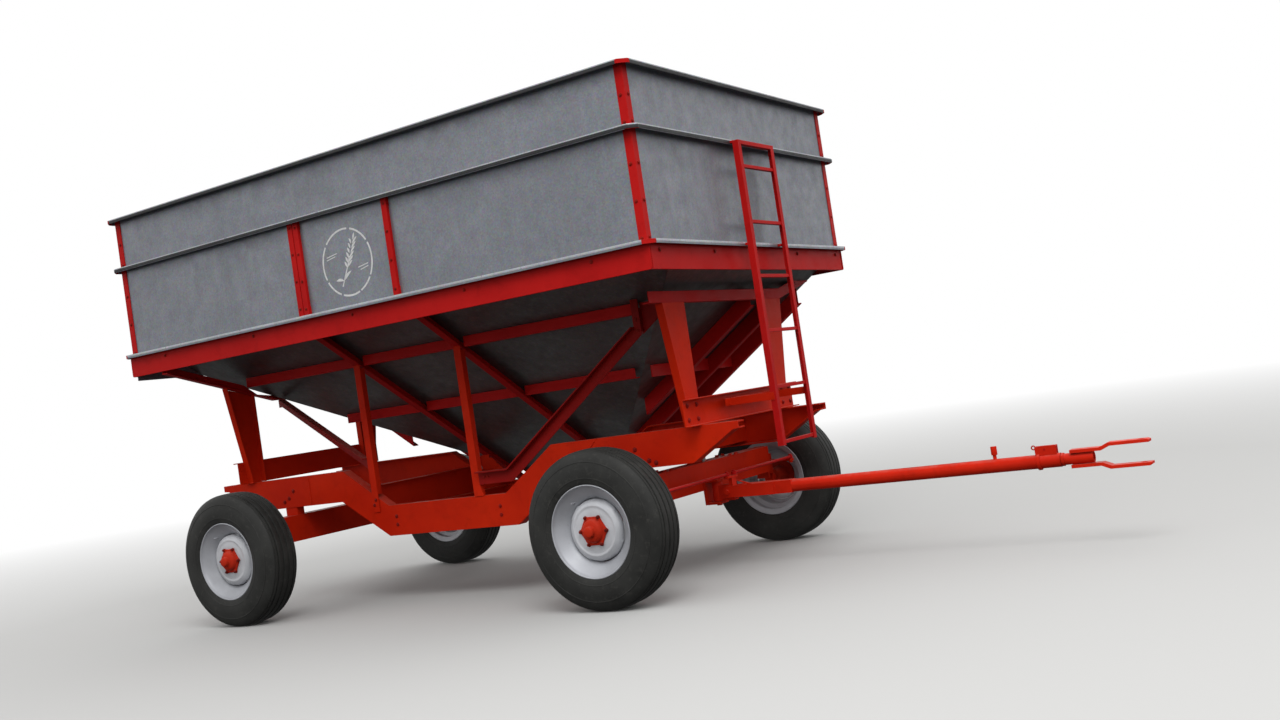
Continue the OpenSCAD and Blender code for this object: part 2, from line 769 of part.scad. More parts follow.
// Tie rod on the left, pinned to the tongue yoke; its outer eye rides just above the knuckle arm.
module tie_rod() {
  color(red) {
    rod_y(9, tie_x, [tie_in + 12, tie_out - 6], tie_z);
    rod_z(15, tie_x, tie_in, [tie_z - 9, tie_z + 9]);
    rod_z(tie_pin_r, tie_x, tie_in, [tie_z - 24, tie_z + 16]);
    rod_z(15, tie_x, tie_out, [tie_z - 9, tie_z + 9]);
    rod_z(10, tie_x, tie_out, [tie_z + 8, tie_z + 18]);
  }
}

// Swinging block between the front axle and the tongue, with the arms that pull the tie rods.
module tongue_yoke() {
  color(orange_red) {
    difference() {
      union() {
        rod_z(30, steer_x, 0, [yoke_z[0], yoke_z[1]]);
        block([steer_x, lift_x + 30], [-24, 24], [yoke_z[0], yoke_z[1] - 20]);
        block([lift_x + 8, lift_x + 30], [-24, 24], [yoke_z[1] - 20, 500]);
        plan_profile([[tie_x - 24, -24], [tie_x - 12, -tie_in - 16], [tie_x + 14, -tie_in - 16],
                      [tie_x + 22, -24], [tie_x + 22, 24], [tie_x + 14, tie_in + 16],
                      [tie_x - 12, tie_in + 16], [tie_x - 24, 24]], [tie_z - 22, tie_z - 10]);
      }
      rod_z(steer_pin_r + bore_gap, steer_x, 0, [yoke_z[0] - 1, yoke_z[1] + 1]);
      rod_y(lift_pin_r + bore_gap, lift_x, [-25, 25], tongue_z);
      for (side = [-1, 1])
        rod_z(tie_pin_r + bore_gap, tie_x, side * tie_in, [tie_z - 23, tie_z - 9]);
    }
  }
}

// Tongue: fork plates on the lift pin, a square neck, the round tube, its peg and latch bracket.
module tongue_tube() {
  fork_end = 1700;
  neck = [lift_x + 60, tube_start + 30];
  half = 34;
  color(orange_red) {
    both_sides()
      side_profile([[lift_x - 30, tongue_z - 30], [fork_end + 130, tongue_z - 34],
                    [fork_end + 130, tongue_z + 34], [lift_x + 50, tongue_z + 34],
                    [lift_x - 6, tongue_z + 30], [lift_x - 30, tongue_z + 12]], [half, half + 10]);
    rod_y(lift_pin_r, lift_x, [-half - 22, half + 22], tongue_z);
    block([fork_end - 60, neck[1]], [-half, half], [tongue_z - half, tongue_z + half]);
    side_profile([[lift_x + 62, tongue_z + 62], [lift_x + 78, tongue_z + 62], [fork_end + 6, tongue_z + 34],
                  [fork_end - 24, tongue_z + 34]], [-half - 10, -half]);
    difference() {
      rod_x(tongue_r, [neck[1], tube_end], 0, tongue_z);
      rod_x(tube_bore, [slide_start - 300, tube_end + 1], 0, tongue_z);
    }
    rod_z(9, 3036, 0, [tongue_z + tongue_r - 2, tongue_z + tongue_r + 24]);
    rod_z(15, 3036, 0, [tongue_z + tongue_r + 20, tongue_z + tongue_r + 62]);
    difference() {
      rod_x(tongue_r + 7, [latch_x, latch_x + 14], 0, tongue_z);
      rod_x(tongue_r - 1, [latch_x - 1, latch_x + 15], 0, tongue_z);
    }
    for (side = [-1, 1])
      difference() {
        block([latch_x - 6, tube_end - 14], [side * 14 - 4, side * 14 + 4],
              [tongue_z + tongue_r - 4, tongue_z + tongue_r + 40]);
        rod_y(5 + bore_gap, latch_x + 40, [side * 14 - 5, side * 14 + 5], tongue_z + tongue_r + 24);
      }
  }
}

// Sliding inner tube with two cranked tines for the drawbar pin.
module hitch_slide() {
  z_in = slide_r + 1;
  z_out = tine_gap / 2;
  color(orange_red) {
    difference() {
      union() {
        rod_x(slide_r, [slide_start, slide_end], 0, tongue_z);
        rod_x(tongue_r - 2, [tube_end + 3, tube_end + 15], 0, tongue_z);
      }
      rod_x(slide_r - 5, [slide_start - 1, slide_end + 1], 0, tongue_z);
    }
    for (side = [-1, 1])
      difference() {
        translate([0, 0, tongue_z]) mirror([0, 0, side < 0 ? 1 : 0])
          side_profile([[tine_start, z_in - 0.7], [3546, z_in - 0.7], [3586, z_out], [hitch_tip_x, z_out],
                        [hitch_tip_x, z_out + tine_t - 5], [hitch_tip_x - 10, z_out + tine_t],
                        [3580, z_out + tine_t], [3540, z_in + tine_t - 0.7],
                       [tine_start, z_in + tine_t - 0.7]], [-tine_w / 2, tine_w / 2]);
        rod_z(hitch_hole_r, hitch_pin_x, 0, [tongue_z - 90, tongue_z + 90]);
      }
  }
}

// Spring-loaded lever over the end of the tube, with a pull ring.
module hitch_latch() {
  z = tongue_z + tongue_r;
  color(red) {
    block([latch_x + 16, tube_end - 12], [-9.5, 9.5], [z + 14, z + 38]);
    rod_y(5, latch_x + 40, [-19, 19], z + 24);
    block([latch_x - 9, latch_x + 16], [-4, 4], [z + 30, z + 38]);
    translate([latch_x - 15, 0, z + 35]) rotate([90, 0, 0]) rotate_extrude() translate([9, 0]) circle(r = 3);
  }
}

// ---- wheels ----

// Tyre section from bead to bead; x is the radius and y the distance from the tyre's middle.
module tyre_section() {
  w = tyre_w / 2;
  groove = 9;
  difference() {
    polygon([[204, -86], [204, -99], [229, -99.5], [234, -107], [250, -113], [268, -w], [310, -w],
             [348, -w + 5], [376, -w + 16], [392, -w + 34], [398, -w + 54], [tyre_r, -30], [tyre_r, 30],
             [398, w - 54], [392, w - 34], [376, w - 16], [348, w - 5], [310, w], [268, w],
             [250, 113], [234, 107], [229, 99.5], [204, 99], [204, 86], [228, 80], [250, 92], [300, 98],
             [344, 92], [368, 74], [376, 40], [376, -40], [368, -74], [344, -92], [300, -98], [250, -92],
             [228, -80]]);
    for (y = [-56, -19, 19, 56])
      translate([tyre_r - 10, y - groove / 2]) square([14, groove]);
  }
}

module rim_section() {
  polygon([[203, -100], [226, -100], [228, -104], [203, -104], [199, -98], [199, -62], [176, -50],
           [176, 40], [199, 60], [199, 98], [203, 104], [228, 104], [226, 100], [203, 100],
           [203, 58], [180, 37], [180, -48], [203, -60]]);
  polygon([[62, 66], [150, 66], [168, 30], [178, 20], [178, 28], [172, 34], [154, 72], [62, 72]]);
}

module hub_section() {
  polygon([[26, -58], [44, -58], [50, -30], [54, 50], [92, 52], [92, 65.5], [60, 65.5], [57, 78],
           [55, 96], [44, 102], [30, 104], [28, 128], [24, 132], [0, 132], [0, 104],
           [spindle_r + bore_gap, 104], [spindle_r + bore_gap, -20], [26, -20]]);
}

// A wheel part centred on its axle, outer face towards +Y.
module on_wheel(x, left) {
  translate([x, 0, wheel_z]) mirror([0, left ? 0 : 1, 0]) translate([0, track_half, 0])
    rotate([-90, 0, 0]) children();
}

module tyre(x, left) {
  color(tyre_black) on_wheel(x, left) rotate_extrude() tyre_section();
}

module rim(x, left) {
  color(rim_silver) on_wheel(x, left)
    difference() {
      rotate_extrude() rim_section();
      for (i = [0 : 5])
        rotate([0, 0, i * 60]) translate([stud_ring, 0, 60]) cylinder(r = 8, h = 20);
    }
}

module hub(x, left) {
  color(orange_red) on_wheel(x, left) {
    rotate_extrude() hub_section();
    for (i = [0 : 5])
      rotate([0, 0, i * 60]) translate([stud_ring, 0, 60]) {
        cylinder(r = 7.5, h = 34);
        translate([0, 0, 12.5]) cylinder(r = 12.5, h = 13, $fn = 6);
      }
  }
}

// ---- unloading door ----

module rack_tooth() {
  a = gear_module;
  polygon([[-1.25 * a, -4.9], [-1.25 * a, 4.9], [0, 3.55], [a * 0.9, 2.0], [a * 0.9, -2.0], [0, -3.55]]);
}

module pinion_tooth() {
  a = gear_module;
  polygon([[pitch_r - 1.25 * a, -4.6], [pitch_r, -3.3], [pitch_r + a * 0.85, -1.6],
           [pitch_r + a * 0.85, 1.6], [pitch_r, 3.3], [pitch_r - 1.25 * a, 4.6]]);
}

// Sliding door with the rack bar that lifts it.
module door_panel() {
  face = gate_y + gate_t;
  rack_z = [door_z + 40, pinion_z + 34];
  base = pinion_x - pitch_r;
  count = floor((rack_z[1] - rack_z[0]) / gear_pitch) - 1;
  first = pinion_z - gear_pitch * (floor((pinion_z - rack_z[0]) / gear_pitch) - 0.5);
  color(shade_grey)
    block([door_rear - gate_lap, door_front + gate_lap], [gate_y, face], [door_z - 10, gate_top]);
  color(red) {
    block([rack_x - 12, base - 1.25 * gear_module + 1], [face, face + 18], rack_z);
    for (i = [0 : count - 1])
      translate([base, face + 18, first + i * gear_pitch]) rotate([90, 0, 0])
        linear_extrude(18) rack_tooth();
  }
}

// Guide strips down both sides of the door, and the bridge with the shaft's bearing.
module door_guides() {
  out_y = gate_y + gate_t + 1;
  z = [door_z - 14, 1262];
  color(red) {
    for (edge = [[door_rear - gate_lap - 1, -1], [door_front + gate_lap + 1, 1]]) {
      strip = [edge[0], edge[0] + edge[1] * 24];
      lip = [edge[0] - edge[1] * 12, edge[0] + edge[1] * 24];
      block([min(strip), max(strip)], [wall_y, out_y], z);
      block([min(lip), max(lip)], [out_y, out_y + 5], z);
      block([min(strip), max(strip)], [out_y + 5, bridge_y], [pinion_z - 30, pinion_z + 30]);
    }
    difference() {
      union() {
        block([door_rear - gate_lap - 25, door_front + gate_lap + 25], [bridge_y, bridge_y + 8],
              [pinion_z - 30, pinion_z + 30]);
        rod_y(24, pinion_x, [bridge_y, bridge_y + 40], pinion_z);
      }
      rod_y(shaft_r + bore_gap, pinion_x, [bridge_y - 1, bridge_y + 41], pinion_z);
    }
  }
}

// Open trough that carries the grain away from the wall.
module chute() {
  start = wall_y + 11;
  drop = side_rise * (chute_tip_y - start);
  low = door_z - 16;
  x = [door_rear - 16, door_front + 16];
  color(red) {
    cross_profile([[start, low], [chute_tip_y, low - drop], [chute_tip_y, low - drop - 4],
                   [start, low - 4]], x);
    for (edge = [x[0] - 4, x[1]])
      cross_profile([[start, low - 4], [chute_tip_y, low - drop - 4], [chute_tip_y, low - drop + 90],
                     [start, low + 120]], [edge, edge + 4]);
  }
}

module door_shaft() {
  face = gate_y + gate_t;
  color(red) {
    rod_y(shaft_r, pinion_x, [face + 1, wheel_y + 20], pinion_z);
    translate([pinion_x, face + 17, pinion_z]) rotate([90, 0, 0]) {
      cylinder(r = pitch_r - 1.2 * gear_module, h = 15);
      for (i = [0 : pinion_teeth - 1])
        rotate([0, 0, 180 + i * 360 / pinion_teeth]) linear_extrude(15) pinion_tooth();
    }
  }
}

module handwheel() {
  color(red)
    translate([pinion_x, wheel_y, pinion_z]) rotate([-90, 0, 0]) {
      rotate_extrude() translate([handwheel_r - 10, 8]) circle(r = 10);
      difference() {
        cylinder(r = 24, h = 16);
        translate([0, 0, -1]) cylinder(r = shaft_r, h = 18);
      }
      for (i = [0 : 2])
        rotate([0, 0, 90 + i * 120]) translate([23, -7, 4]) cube([handwheel_r - 42, 14, 8]);
    }
}

// ---- assembly ----

at_origin() right_side() side_panel();  // side_panel_right
at_origin() side_panel();  // side_panel_left
at_origin() end_panel(front_under(in_x) - 6);  // end_panel_front
at_origin() mirror([1, 0, 0]) end_panel(rear_under(-in_x) - 6);  // end_panel_rear
at_origin() right_side() extension_side();  // extension_right
at_origin() extension_side();  // extension_left
at_origin() extension_end();  // extension_front
at_origin() mirror([1, 0, 0]) extension_end();  // extension_rear
at_origin() corner_posts();
at_origin() panel_stiffeners();
at_origin() skirt_sides();
at_origin() skirt_ends();
at_origin() slope_sheet_side();
at_origin() slope_sheet_front();
at_origin() slope_sheet_rear();
at_origin() discharge_wall();
at_origin() slope_ribs_side();
at_origin() slope_ribs_front();
at_origin() slope_ribs_rear();
at_origin() cross_beam_front();
at_origin() cross_beam_rear();
at_origin() legs_front();
at_origin() legs_rear();
at_origin() bolster_front();
at_origin() bolster_rear();
at_origin() right_side() frame_rail();  // frame_rail_right
at_origin() frame_rail();  // frame_rail_left
at_origin() frame_crossmembers();
at_origin() support_posts();
at_origin() diagonal_braces();
at_origin() ladder_stiles();
at_origin() ladder_rungs();
at_origin() axle_beam_rear();
at_origin() axle_beam_front();
at_origin() axle_pivot_pin();
at_origin() right_side() knuckle();  // knuckle_right
at_origin() knuckle();  // knuckle_left
at_origin() right_side() tie_rod();  // tie_rod_right
at_origin() tie_rod();  // tie_rod_left
at_origin() tongue_yoke();
at_origin() tongue_tube();
at_origin() hitch_slide();
at_origin() hitch_latch();
at_origin() tyre(front_axle_x, false);  // tyre_front_right
at_origin() tyre(front_axle_x, true);  // tyre_front_left
at_origin() tyre(-rear_axle_x, false);  // tyre_rear_right
at_origin() tyre(-rear_axle_x, true);  // tyre_rear_left
at_origin() rim(front_axle_x, false);  // rim_front_right
at_origin() rim(front_axle_x, true);  // rim_front_left
at_origin() rim(-rear_axle_x, false);  // rim_rear_right
at_origin() rim(-rear_axle_x, true);  // rim_rear_left
at_origin() hub(front_axle_x, false);  // hub_front_right
at_origin() hub(front_axle_x, true);  // hub_front_left
at_origin() hub(-rear_axle_x, false);  // hub_rear_right
at_origin() hub(-rear_axle_x, true);  // hub_rear_left
at_origin() door_panel();
at_origin() door_guides();
at_origin() chute();
at_origin() door_shaft();
at_origin() handwheel();
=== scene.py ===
import bmesh
import bpy
import json
import math
from mathutils import Vector, Matrix, noise


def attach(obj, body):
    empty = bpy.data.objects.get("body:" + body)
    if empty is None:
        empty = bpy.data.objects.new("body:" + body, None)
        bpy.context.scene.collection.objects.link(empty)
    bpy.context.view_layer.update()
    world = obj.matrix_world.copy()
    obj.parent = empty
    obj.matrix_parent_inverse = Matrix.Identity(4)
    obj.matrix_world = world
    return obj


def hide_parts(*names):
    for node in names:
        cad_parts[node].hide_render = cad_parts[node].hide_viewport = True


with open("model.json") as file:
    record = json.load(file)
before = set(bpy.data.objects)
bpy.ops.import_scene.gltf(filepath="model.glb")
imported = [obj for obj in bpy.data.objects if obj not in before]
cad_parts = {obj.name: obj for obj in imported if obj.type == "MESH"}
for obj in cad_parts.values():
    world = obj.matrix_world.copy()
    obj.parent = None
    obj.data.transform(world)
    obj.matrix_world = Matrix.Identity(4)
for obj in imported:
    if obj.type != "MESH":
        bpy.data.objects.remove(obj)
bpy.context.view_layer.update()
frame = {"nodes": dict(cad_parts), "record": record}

scene = bpy.context.scene
nodes = frame["nodes"]
pi = math.pi


# ---------------------------------------------------------------- materials

def new_material(name):
    """An empty node tree with one Principled shader."""
    m = bpy.data.materials.new(name)
    m.use_nodes = True
    t = m.node_tree
    t.nodes.clear()
    out = t.nodes.new("ShaderNodeOutputMaterial")
    bsdf = t.nodes.new("ShaderNodeBsdfPrincipled")
    t.links.new(bsdf.outputs[0], out.inputs[0])
    return m, t, bsdf


class Net:
    """Short names for building a node tree."""

    def __init__(self, tree):
        self.t = tree
        self.co = tree.nodes.new("ShaderNodeTexCoord").outputs["Object"]
        self.geo = tree.nodes.new("ShaderNodeNewGeometry")

    def put(self, socket, value):
        if isinstance(value, bpy.types.NodeSocket):
            self.t.links.new(value, socket)
        elif value is not None:
            socket.default_value = value

    def scaled(self, sx, sy, sz):
        n = self.t.nodes.new("ShaderNodeMapping")
        n.inputs["Scale"].default_value = (sx, sy, sz)
        self.put(n.inputs[0], self.co)
        return n.outputs[0]

    def noise(self, scale, detail=4, rough=0.55, vec=None, distort=0.0):
        n = self.t.nodes.new("ShaderNodeTexNoise")
        n.inputs["Scale"].default_value = scale
        n.inputs["Detail"].default_value = detail
        n.inputs["Roughness"].default_value = rough
        n.inputs["Distortion"].default_value = distort
        self.put(n.inputs["Vector"], vec or self.co)
        return n.outputs["Fac"]

    def cells(self, scale):
        n = self.t.nodes.new("ShaderNodeTexVoronoi")
        n.inputs["Scale"].default_value = scale
        self.put(n.inputs["Vector"], self.co)
        return n.outputs["Color"]

    def ramp(self, fac, lo, hi, a=0.0, b=1.0):
        n = self.t.nodes.new("ShaderNodeMapRange")
        n.inputs["From Min"].default_value = lo
        n.inputs["From Max"].default_value = hi
        n.inputs["To Min"].default_value = a
        n.inputs["To Max"].default_value = b
        self.put(n.inputs["Value"], fac)
        return n.outputs[0]

    def math(self, op, a, b=None):
        n = self.t.nodes.new("ShaderNodeMath")
        n.operation = op
        self.put(n.inputs[0], a)
        self.put(n.inputs[1], b)
        return n.outputs[0]

    def mix(self, fac, a, b, kind="MIX"):
        n = self.t.nodes.new("ShaderNodeMix")
        n.data_type = "RGBA"
        n.blend_type = kind
        self.put(n.inputs[0], fac)
        self.put(n.inputs[6], rgba(a))
        self.put(n.inputs[7], rgba(b))
        return n.outputs[2]

    def bump(self, height, dist, strength=1.0, normal=None):
        n = self.t.nodes.new("ShaderNodeBump")
        n.inputs["Distance"].default_value = dist
        n.inputs["Strength"].default_value = strength
        self.put(n.inputs["Height"], height)
        self.put(n.inputs["Normal"], normal)
        return n.outputs[0]

    def up(self):
        n = self.t.nodes.new("ShaderNodeSeparateXYZ")
        self.put(n.inputs[0], self.geo.outputs["Normal"])
        return n.outputs[2]


def rgba(c):
    return (*c, 1.0) if isinstance(c, tuple) and len(c) == 3 else c


def paint(name, colour, dark, dust=0.10, gloss=0.36, bump=0.00025):
    """Brushed or sprayed enamel: slight orange peel, faded patches, dust on upward faces, small chips."""
    m, t, b = new_material(name)
    n = Net(t)
    patch = n.ramp(n.noise(2.3, 5, 0.6), 0.35, 0.68)
    col = n.mix(patch, dark, colour)
    grime = n.ramp(n.noise(14, 6, 0.65, distort=0.4), 0.52, 0.75, 0, 0.35)
    col = n.mix(grime, col, tuple(v * 0.45 for v in colour))
    flat = n.ramp(n.up(), 0.55, 0.95)
    dusty = n.math("MULTIPLY", flat, n.ramp(n.noise(30, 5, 0.7), 0.3, 0.75, 0, dust * 3))
    col = n.mix(dusty, col, (0.36, 0.31, 0.26))
    chips = n.ramp(n.noise(95, 3, 0.8), 0.745, 0.76)
    chips = n.math("MULTIPLY", chips, n.ramp(n.noise(4.1, 3, 0.5), 0.5, 0.62))
    col = n.mix(chips, col, (0.10, 0.075, 0.06))
    n.put(b.inputs["Base Color"], col)
    n.put(b.inputs["Roughness"], n.ramp(n.noise(9, 4, 0.6), 0.3, 0.7, gloss - 0.07, gloss + 0.12))
    b.inputs["Specular IOR Level"].default_value = 0.035
    peel = n.bump(n.noise(260, 2, 0.5), bump, 0.35)
    n.put(b.inputs["Normal"], n.bump(n.noise(7, 3, 0.5), 0.004, 0.25, peel))
    return m


def sheet(name, light, dark, rough=0.42, metal=0.55, streak=0.5, wave=0.006):
    """Weathered galvanised sheet: cloudy oxide, faint spangle, rain streaks and shallow oil-canning."""
    m, t, b = new_material(name)
    n = Net(t)
    cloud = n.ramp(n.noise(1.7, 7, 0.62, distort=0.5), 0.33, 0.66)
    col = n.mix(cloud, dark, light)
    mid = n.ramp(n.noise(11, 6, 0.7), 0.35, 0.7)
    col = n.mix(n.math("MULTIPLY", mid, 0.45), col, tuple(v * 0.72 for v in light))
    run = n.noise(1.0, 6, 0.65, n.scaled(26, 26, 1.3))
    col = n.mix(n.ramp(run, 0.50, 0.78, 0, streak), col, tuple(v * 1.45 for v in light))
    run2 = n.noise(1.0, 5, 0.6, n.scaled(17, 17, 0.8), 0.3)
    col = n.mix(n.ramp(run2, 0.52, 0.75, 0, streak * 0.8), col, tuple(v * 0.5 for v in dark))
    grain = n.ramp(n.noise(150, 3, 0.7), 0.32, 0.72)
    col = n.mix(n.math("MULTIPLY", grain, 0.30), col, tuple(v * 0.62 for v in dark))
    sp = n.cells(120)
    col = n.mix(0.14, col, sp, "OVERLAY")
    speck = n.ramp(n.noise(70, 2, 0.6), 0.68, 0.75, 0, 0.35)
    col = n.mix(speck, col, tuple(v * 0.5 for v in dark))
    n.put(b.inputs["Base Color"], col)
    b.inputs["Metallic"].default_value = metal
    n.put(b.inputs["Roughness"], n.ramp(mid, 0, 1, rough - 0.08, rough + 0.14))
    fine = n.bump(n.noise(180, 3, 0.6), 0.0003, 0.4)
    n.put(b.inputs["Normal"], n.bump(n.noise(1.9, 2, 0.4), wave, 0.6, fine))
    return m


def rubber(name):
    """Dull black tyre rubber with greyed, dusty patches."""
    m, t, b = new_material(name)
    n = Net(t)
    col = n.mix(n.ramp(n.noise(6, 6, 0.65), 0.35, 0.7), (0.017, 0.017, 0.016), (0.032, 0.032, 0.030))
    col = n.mix(n.ramp(n.noise(38, 5, 0.7), 0.55, 0.8, 0, 0.4), col, (0.085, 0.080, 0.072))
    n.put(b.inputs["Base Color"], col)
    n.put(b.inputs["Roughness"], n.ramp(n.noise(12, 4, 0.6), 0.3, 0.7, 0.50, 0.72))
    b.inputs["Specular IOR Level"].default_value = 0.2
    n.put(b.inputs["Normal"], n.bump(n.noise(420, 3, 0.6), 0.0004, 0.5))
    return m


def silver(name, light):
    """Silver wheel paint with thin patches and road dirt."""
    m, t, b = new_material(name)
    n = Net(t)
    col = n.mix(n.ramp(n.noise(5, 6, 0.6), 0.35, 0.7), tuple(v * 0.73 for v in light), light)
    col = n.mix(n.ramp(n.noise(40, 5, 0.7), 0.6, 0.8, 0, 0.45), col, (0.20, 0.19, 0.18))
    n.put(b.inputs["Base Color"], col)
    b.inputs["Metallic"].default_value = 0.15
    n.put(b.inputs["Roughness"], n.ramp(n.noise(20, 4, 0.6), 0.3, 0.7, 0.34, 0.52))
    n.put(b.inputs["Normal"], n.bump(n.noise(220, 3, 0.6), 0.0004, 0.4))
    return m


def plain_steel(name):
    """Machined pin steel with a little rust."""
    m, t, b = new_material(name)
    n = Net(t)
    col = n.mix(n.ramp(n.noise(60, 5, 0.6), 0.4, 0.65), (0.19, 0.185, 0.18), (0.34, 0.33, 0.31))
    col = n.mix(n.ramp(n.noise(25, 5, 0.7), 0.55, 0.8, 0, 0.5), col, (0.12, 0.06, 0.03))
    n.put(b.inputs["Base Color"], col)
    b.inputs["Metallic"].default_value = 0.9
    n.put(b.inputs["Roughness"], n.ramp(n.noise(90, 4, 0.6), 0.3, 0.7, 0.30, 0.55))
    n.put(b.inputs["Normal"], n.bump(n.noise(300, 3, 0.6), 0.0004, 0.5))
    return m


def worn_paint(name, colour):
    """Thin stencil paint, patchy where it has rubbed back to the sheet."""
    m, t, b = new_material(name)
    n = Net(t)
    col = n.mix(n.ramp(n.noise(60, 5, 0.7), 0.45, 0.75, 0, 0.7), colour, tuple(v * 0.62 for v in colour))
    n.put(b.inputs["Base Color"], col)
    n.put(b.inputs["Roughness"], n.ramp(n.noise(30, 4, 0.6), 0.3, 0.7, 0.45, 0.65))
    b.inputs["Specular IOR Level"].default_value = 0.2
    n.put(b.inputs["Normal"], n.bump(n.noise(300, 3, 0.6), 0.0003, 0.4))
    return m


MATS = {
    "box_red": paint("box_red_enamel", (0.45, 0.010, 0.009), (0.38, 0.007, 0.007)),
    "chassis_red": paint("chassis_red_enamel", (0.54, 0.020, 0.0035), (0.43, 0.013, 0.003)),
    "galvanised_sheet": sheet("weathered_galvanised", (0.246, 0.258, 0.290), (0.200, 0.210, 0.236),
                              streak=0.14),
    "hopper_grey": sheet("hopper_galvanised", (0.17, 0.17, 0.168), (0.10, 0.10, 0.10), 0.36, 0.7, 0.6, 0.01),
    "tyre_rubber": rubber("tyre_rubber_black"),
    "rim_silver": silver("rim_silver_paint", (0.58, 0.59, 0.62)),
    # A darker copy of the rim silver: painted shade for the dish and lip outside the disc.
    "rim_painted_shade": silver("rim_painted_shade_silver", (0.40, 0.41, 0.44)),
    "bare_steel": plain_steel("bare_steel_pins"),
    "tongue_red": paint("tongue_red_enamel", (0.64, 0.022, 0.007), (0.50, 0.015, 0.005)),
    # The braces take box red darkened: painted shade, not a paint of their own.
    "brace_painted_shade_red": paint("brace_painted_shade_red_enamel", (0.25, 0.008, 0.007), (0.19, 0.006, 0.005)),
    "hub_red": paint("hub_red_enamel", (0.46, 0.028, 0.010), (0.36, 0.018, 0.008), 0.05, 0.34),
    "stud_red": paint("stud_red_worn", (0.20, 0.014, 0.008), (0.09, 0.010, 0.008), 0.10, 0.40),
    "bolt_red": paint("bolt_red_worn", (0.27, 0.012, 0.008), (0.17, 0.010, 0.008), 0.10, 0.40),
    # Pale zinc for the flange lips' edges: a painted highlight, lighter than the sheet around it.
    "edge_highlight_zinc": sheet("zinc_edge_painted_highlight", (0.50, 0.515, 0.55), (0.38, 0.39, 0.42), 0.34, 0.45, 0.2, 0.001),
    # Near-black sheet for strips under the flange lips: painted shade where the lips cast shadow.
    "lip_shade": sheet("lip_shade", (0.035, 0.036, 0.038), (0.020, 0.020, 0.021), 0.5, 0.3, 0.1, 0.001),
    "stencil_white": worn_paint("stencil_paint", (0.62, 0.62, 0.615)),
}

# The diagonal braces get the darker red of painted shade.
NODE_LOOK = {"tongue_tube": "tongue_red", "hitch_slide": "tongue_red", "tongue_yoke": "tongue_red",
             "diagonal_braces": "brace_painted_shade_red"}

slot_of = {s["node"]: s["material_slot"] for s in frame["record"]["subparts"]}
for name, o in nodes.items():
    o.data.materials.clear()
    o.data.materials.append(MATS[NODE_LOOK.get(name, slot_of[name])])
    weld = o.modifiers.new("weld", "WELD")
    weld.merge_threshold = 0.00002
    bev = o.modifiers.new("edges", "BEVEL")
    bev.width = 0.0016
    bev.segments = 2
    bev.limit_method = "ANGLE"
    bev.angle_limit = 0.6
    bev.harden_normals = False


# ---------------------------------------------------------------- pieces

OX, OY = 0.900, 0.065
WALL_X, WALL_Y = 1.915, 1.110
RAIL_Y = 0.541
LEG_FOOT = 0.8295
FLANGE_TOPS = {"base": 1.738, "middle": 2.283, "top": 2.590}
TYRE_Y = 0.988
WHEEL_Z = 0.400
AXLES = {"front": 1.341, "rear": -1.345}
BOX_BODY = "wagon"


def at(x, y, z):
    """A place measured from the wagon's middle, in the model's frame."""
    return Vector((x - OX, y - OY, z))


def finish_mesh(name, bm, slot, body, angle=0.6, smooth=True):
    """Make a piece of a built mesh, with its material, on the body that it moves with."""
    bmesh.ops.recalc_face_normals(bm, faces=bm.faces)
    me = bpy.data.meshes.new(name)
    bm.to_mesh(me)
    bm.free()
    if smooth:
        me.shade_smooth()
        me.set_sharp_from_angle(angle=angle)
    me.materials.append(MATS[slot])
    o = bpy.data.objects.new(name, me)
    scene.collection.objects.link(o)
    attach(o, body)
    return o


def lathe(bm, profile, centre, out, steps=96, shape=None):
    """Turn a profile of (radius, outward) round the Y axis; shape(i, radius, angle) may vary the radius."""
    rings = []
    for i, (r, w) in enumerate(profile):
        ring = []
        for k in range(steps):
            a = 2 * pi * k / steps
            rr = shape(i, r, a) if shape else r
            ring.append(bm.verts.new(centre + Vector((rr * math.cos(a), out * w, rr * math.sin(a)))))
        rings.append(ring)
    for a, b in zip(rings, rings[1:]):
        for k in range(steps):
            j = (k + 1) % steps
            bm.faces.new((a[k], a[j], b[j], b[k]))
    return rings


def cap(bm, ring):
    bm.faces.new(ring)


def frame_of(normal):
    n = Vector(normal).normalized()
    u = n.orthogonal().normalized()
    return n, u, n.cross(u)


def prism(bm, centre, normal, rows, sides, turn=0.0):
    """Stack of polygon rings (radius, height) along a direction, closed at the top."""
    n, u, v = frame_of(normal)
    last = None
    for r, h in rows:
        ring = [bm.verts.new(centre + n * h + u * (r * math.cos(turn + 2 * pi * k / sides))
                             + v * (r * math.sin(turn + 2 * pi * k / sides))) for k in range(sides)]
        if last:
            for k in range(sides):
                j = (k + 1) % sides
                bm.faces.new((last[k], last[j], ring[j], ring[k]))
        last = ring
    bm.faces.new(last)


def bolt(bm, centre, normal, r=0.008, turn=0.2):
    """Washer and a hex head with a chamfered crown."""
    prism(bm, centre, normal, [(r * 1.45, -0.0006), (r * 1.45, 0.0012), (r * 1.30, 0.0018)], 20)
    prism(bm, centre, normal, [(r, 0.0006), (r, 0.0018 + r * 0.58), (r * 0.86, 0.0018 + r * 0.74),
                               (r * 0.45, 0.0018 + r * 0.78)], 6, turn)


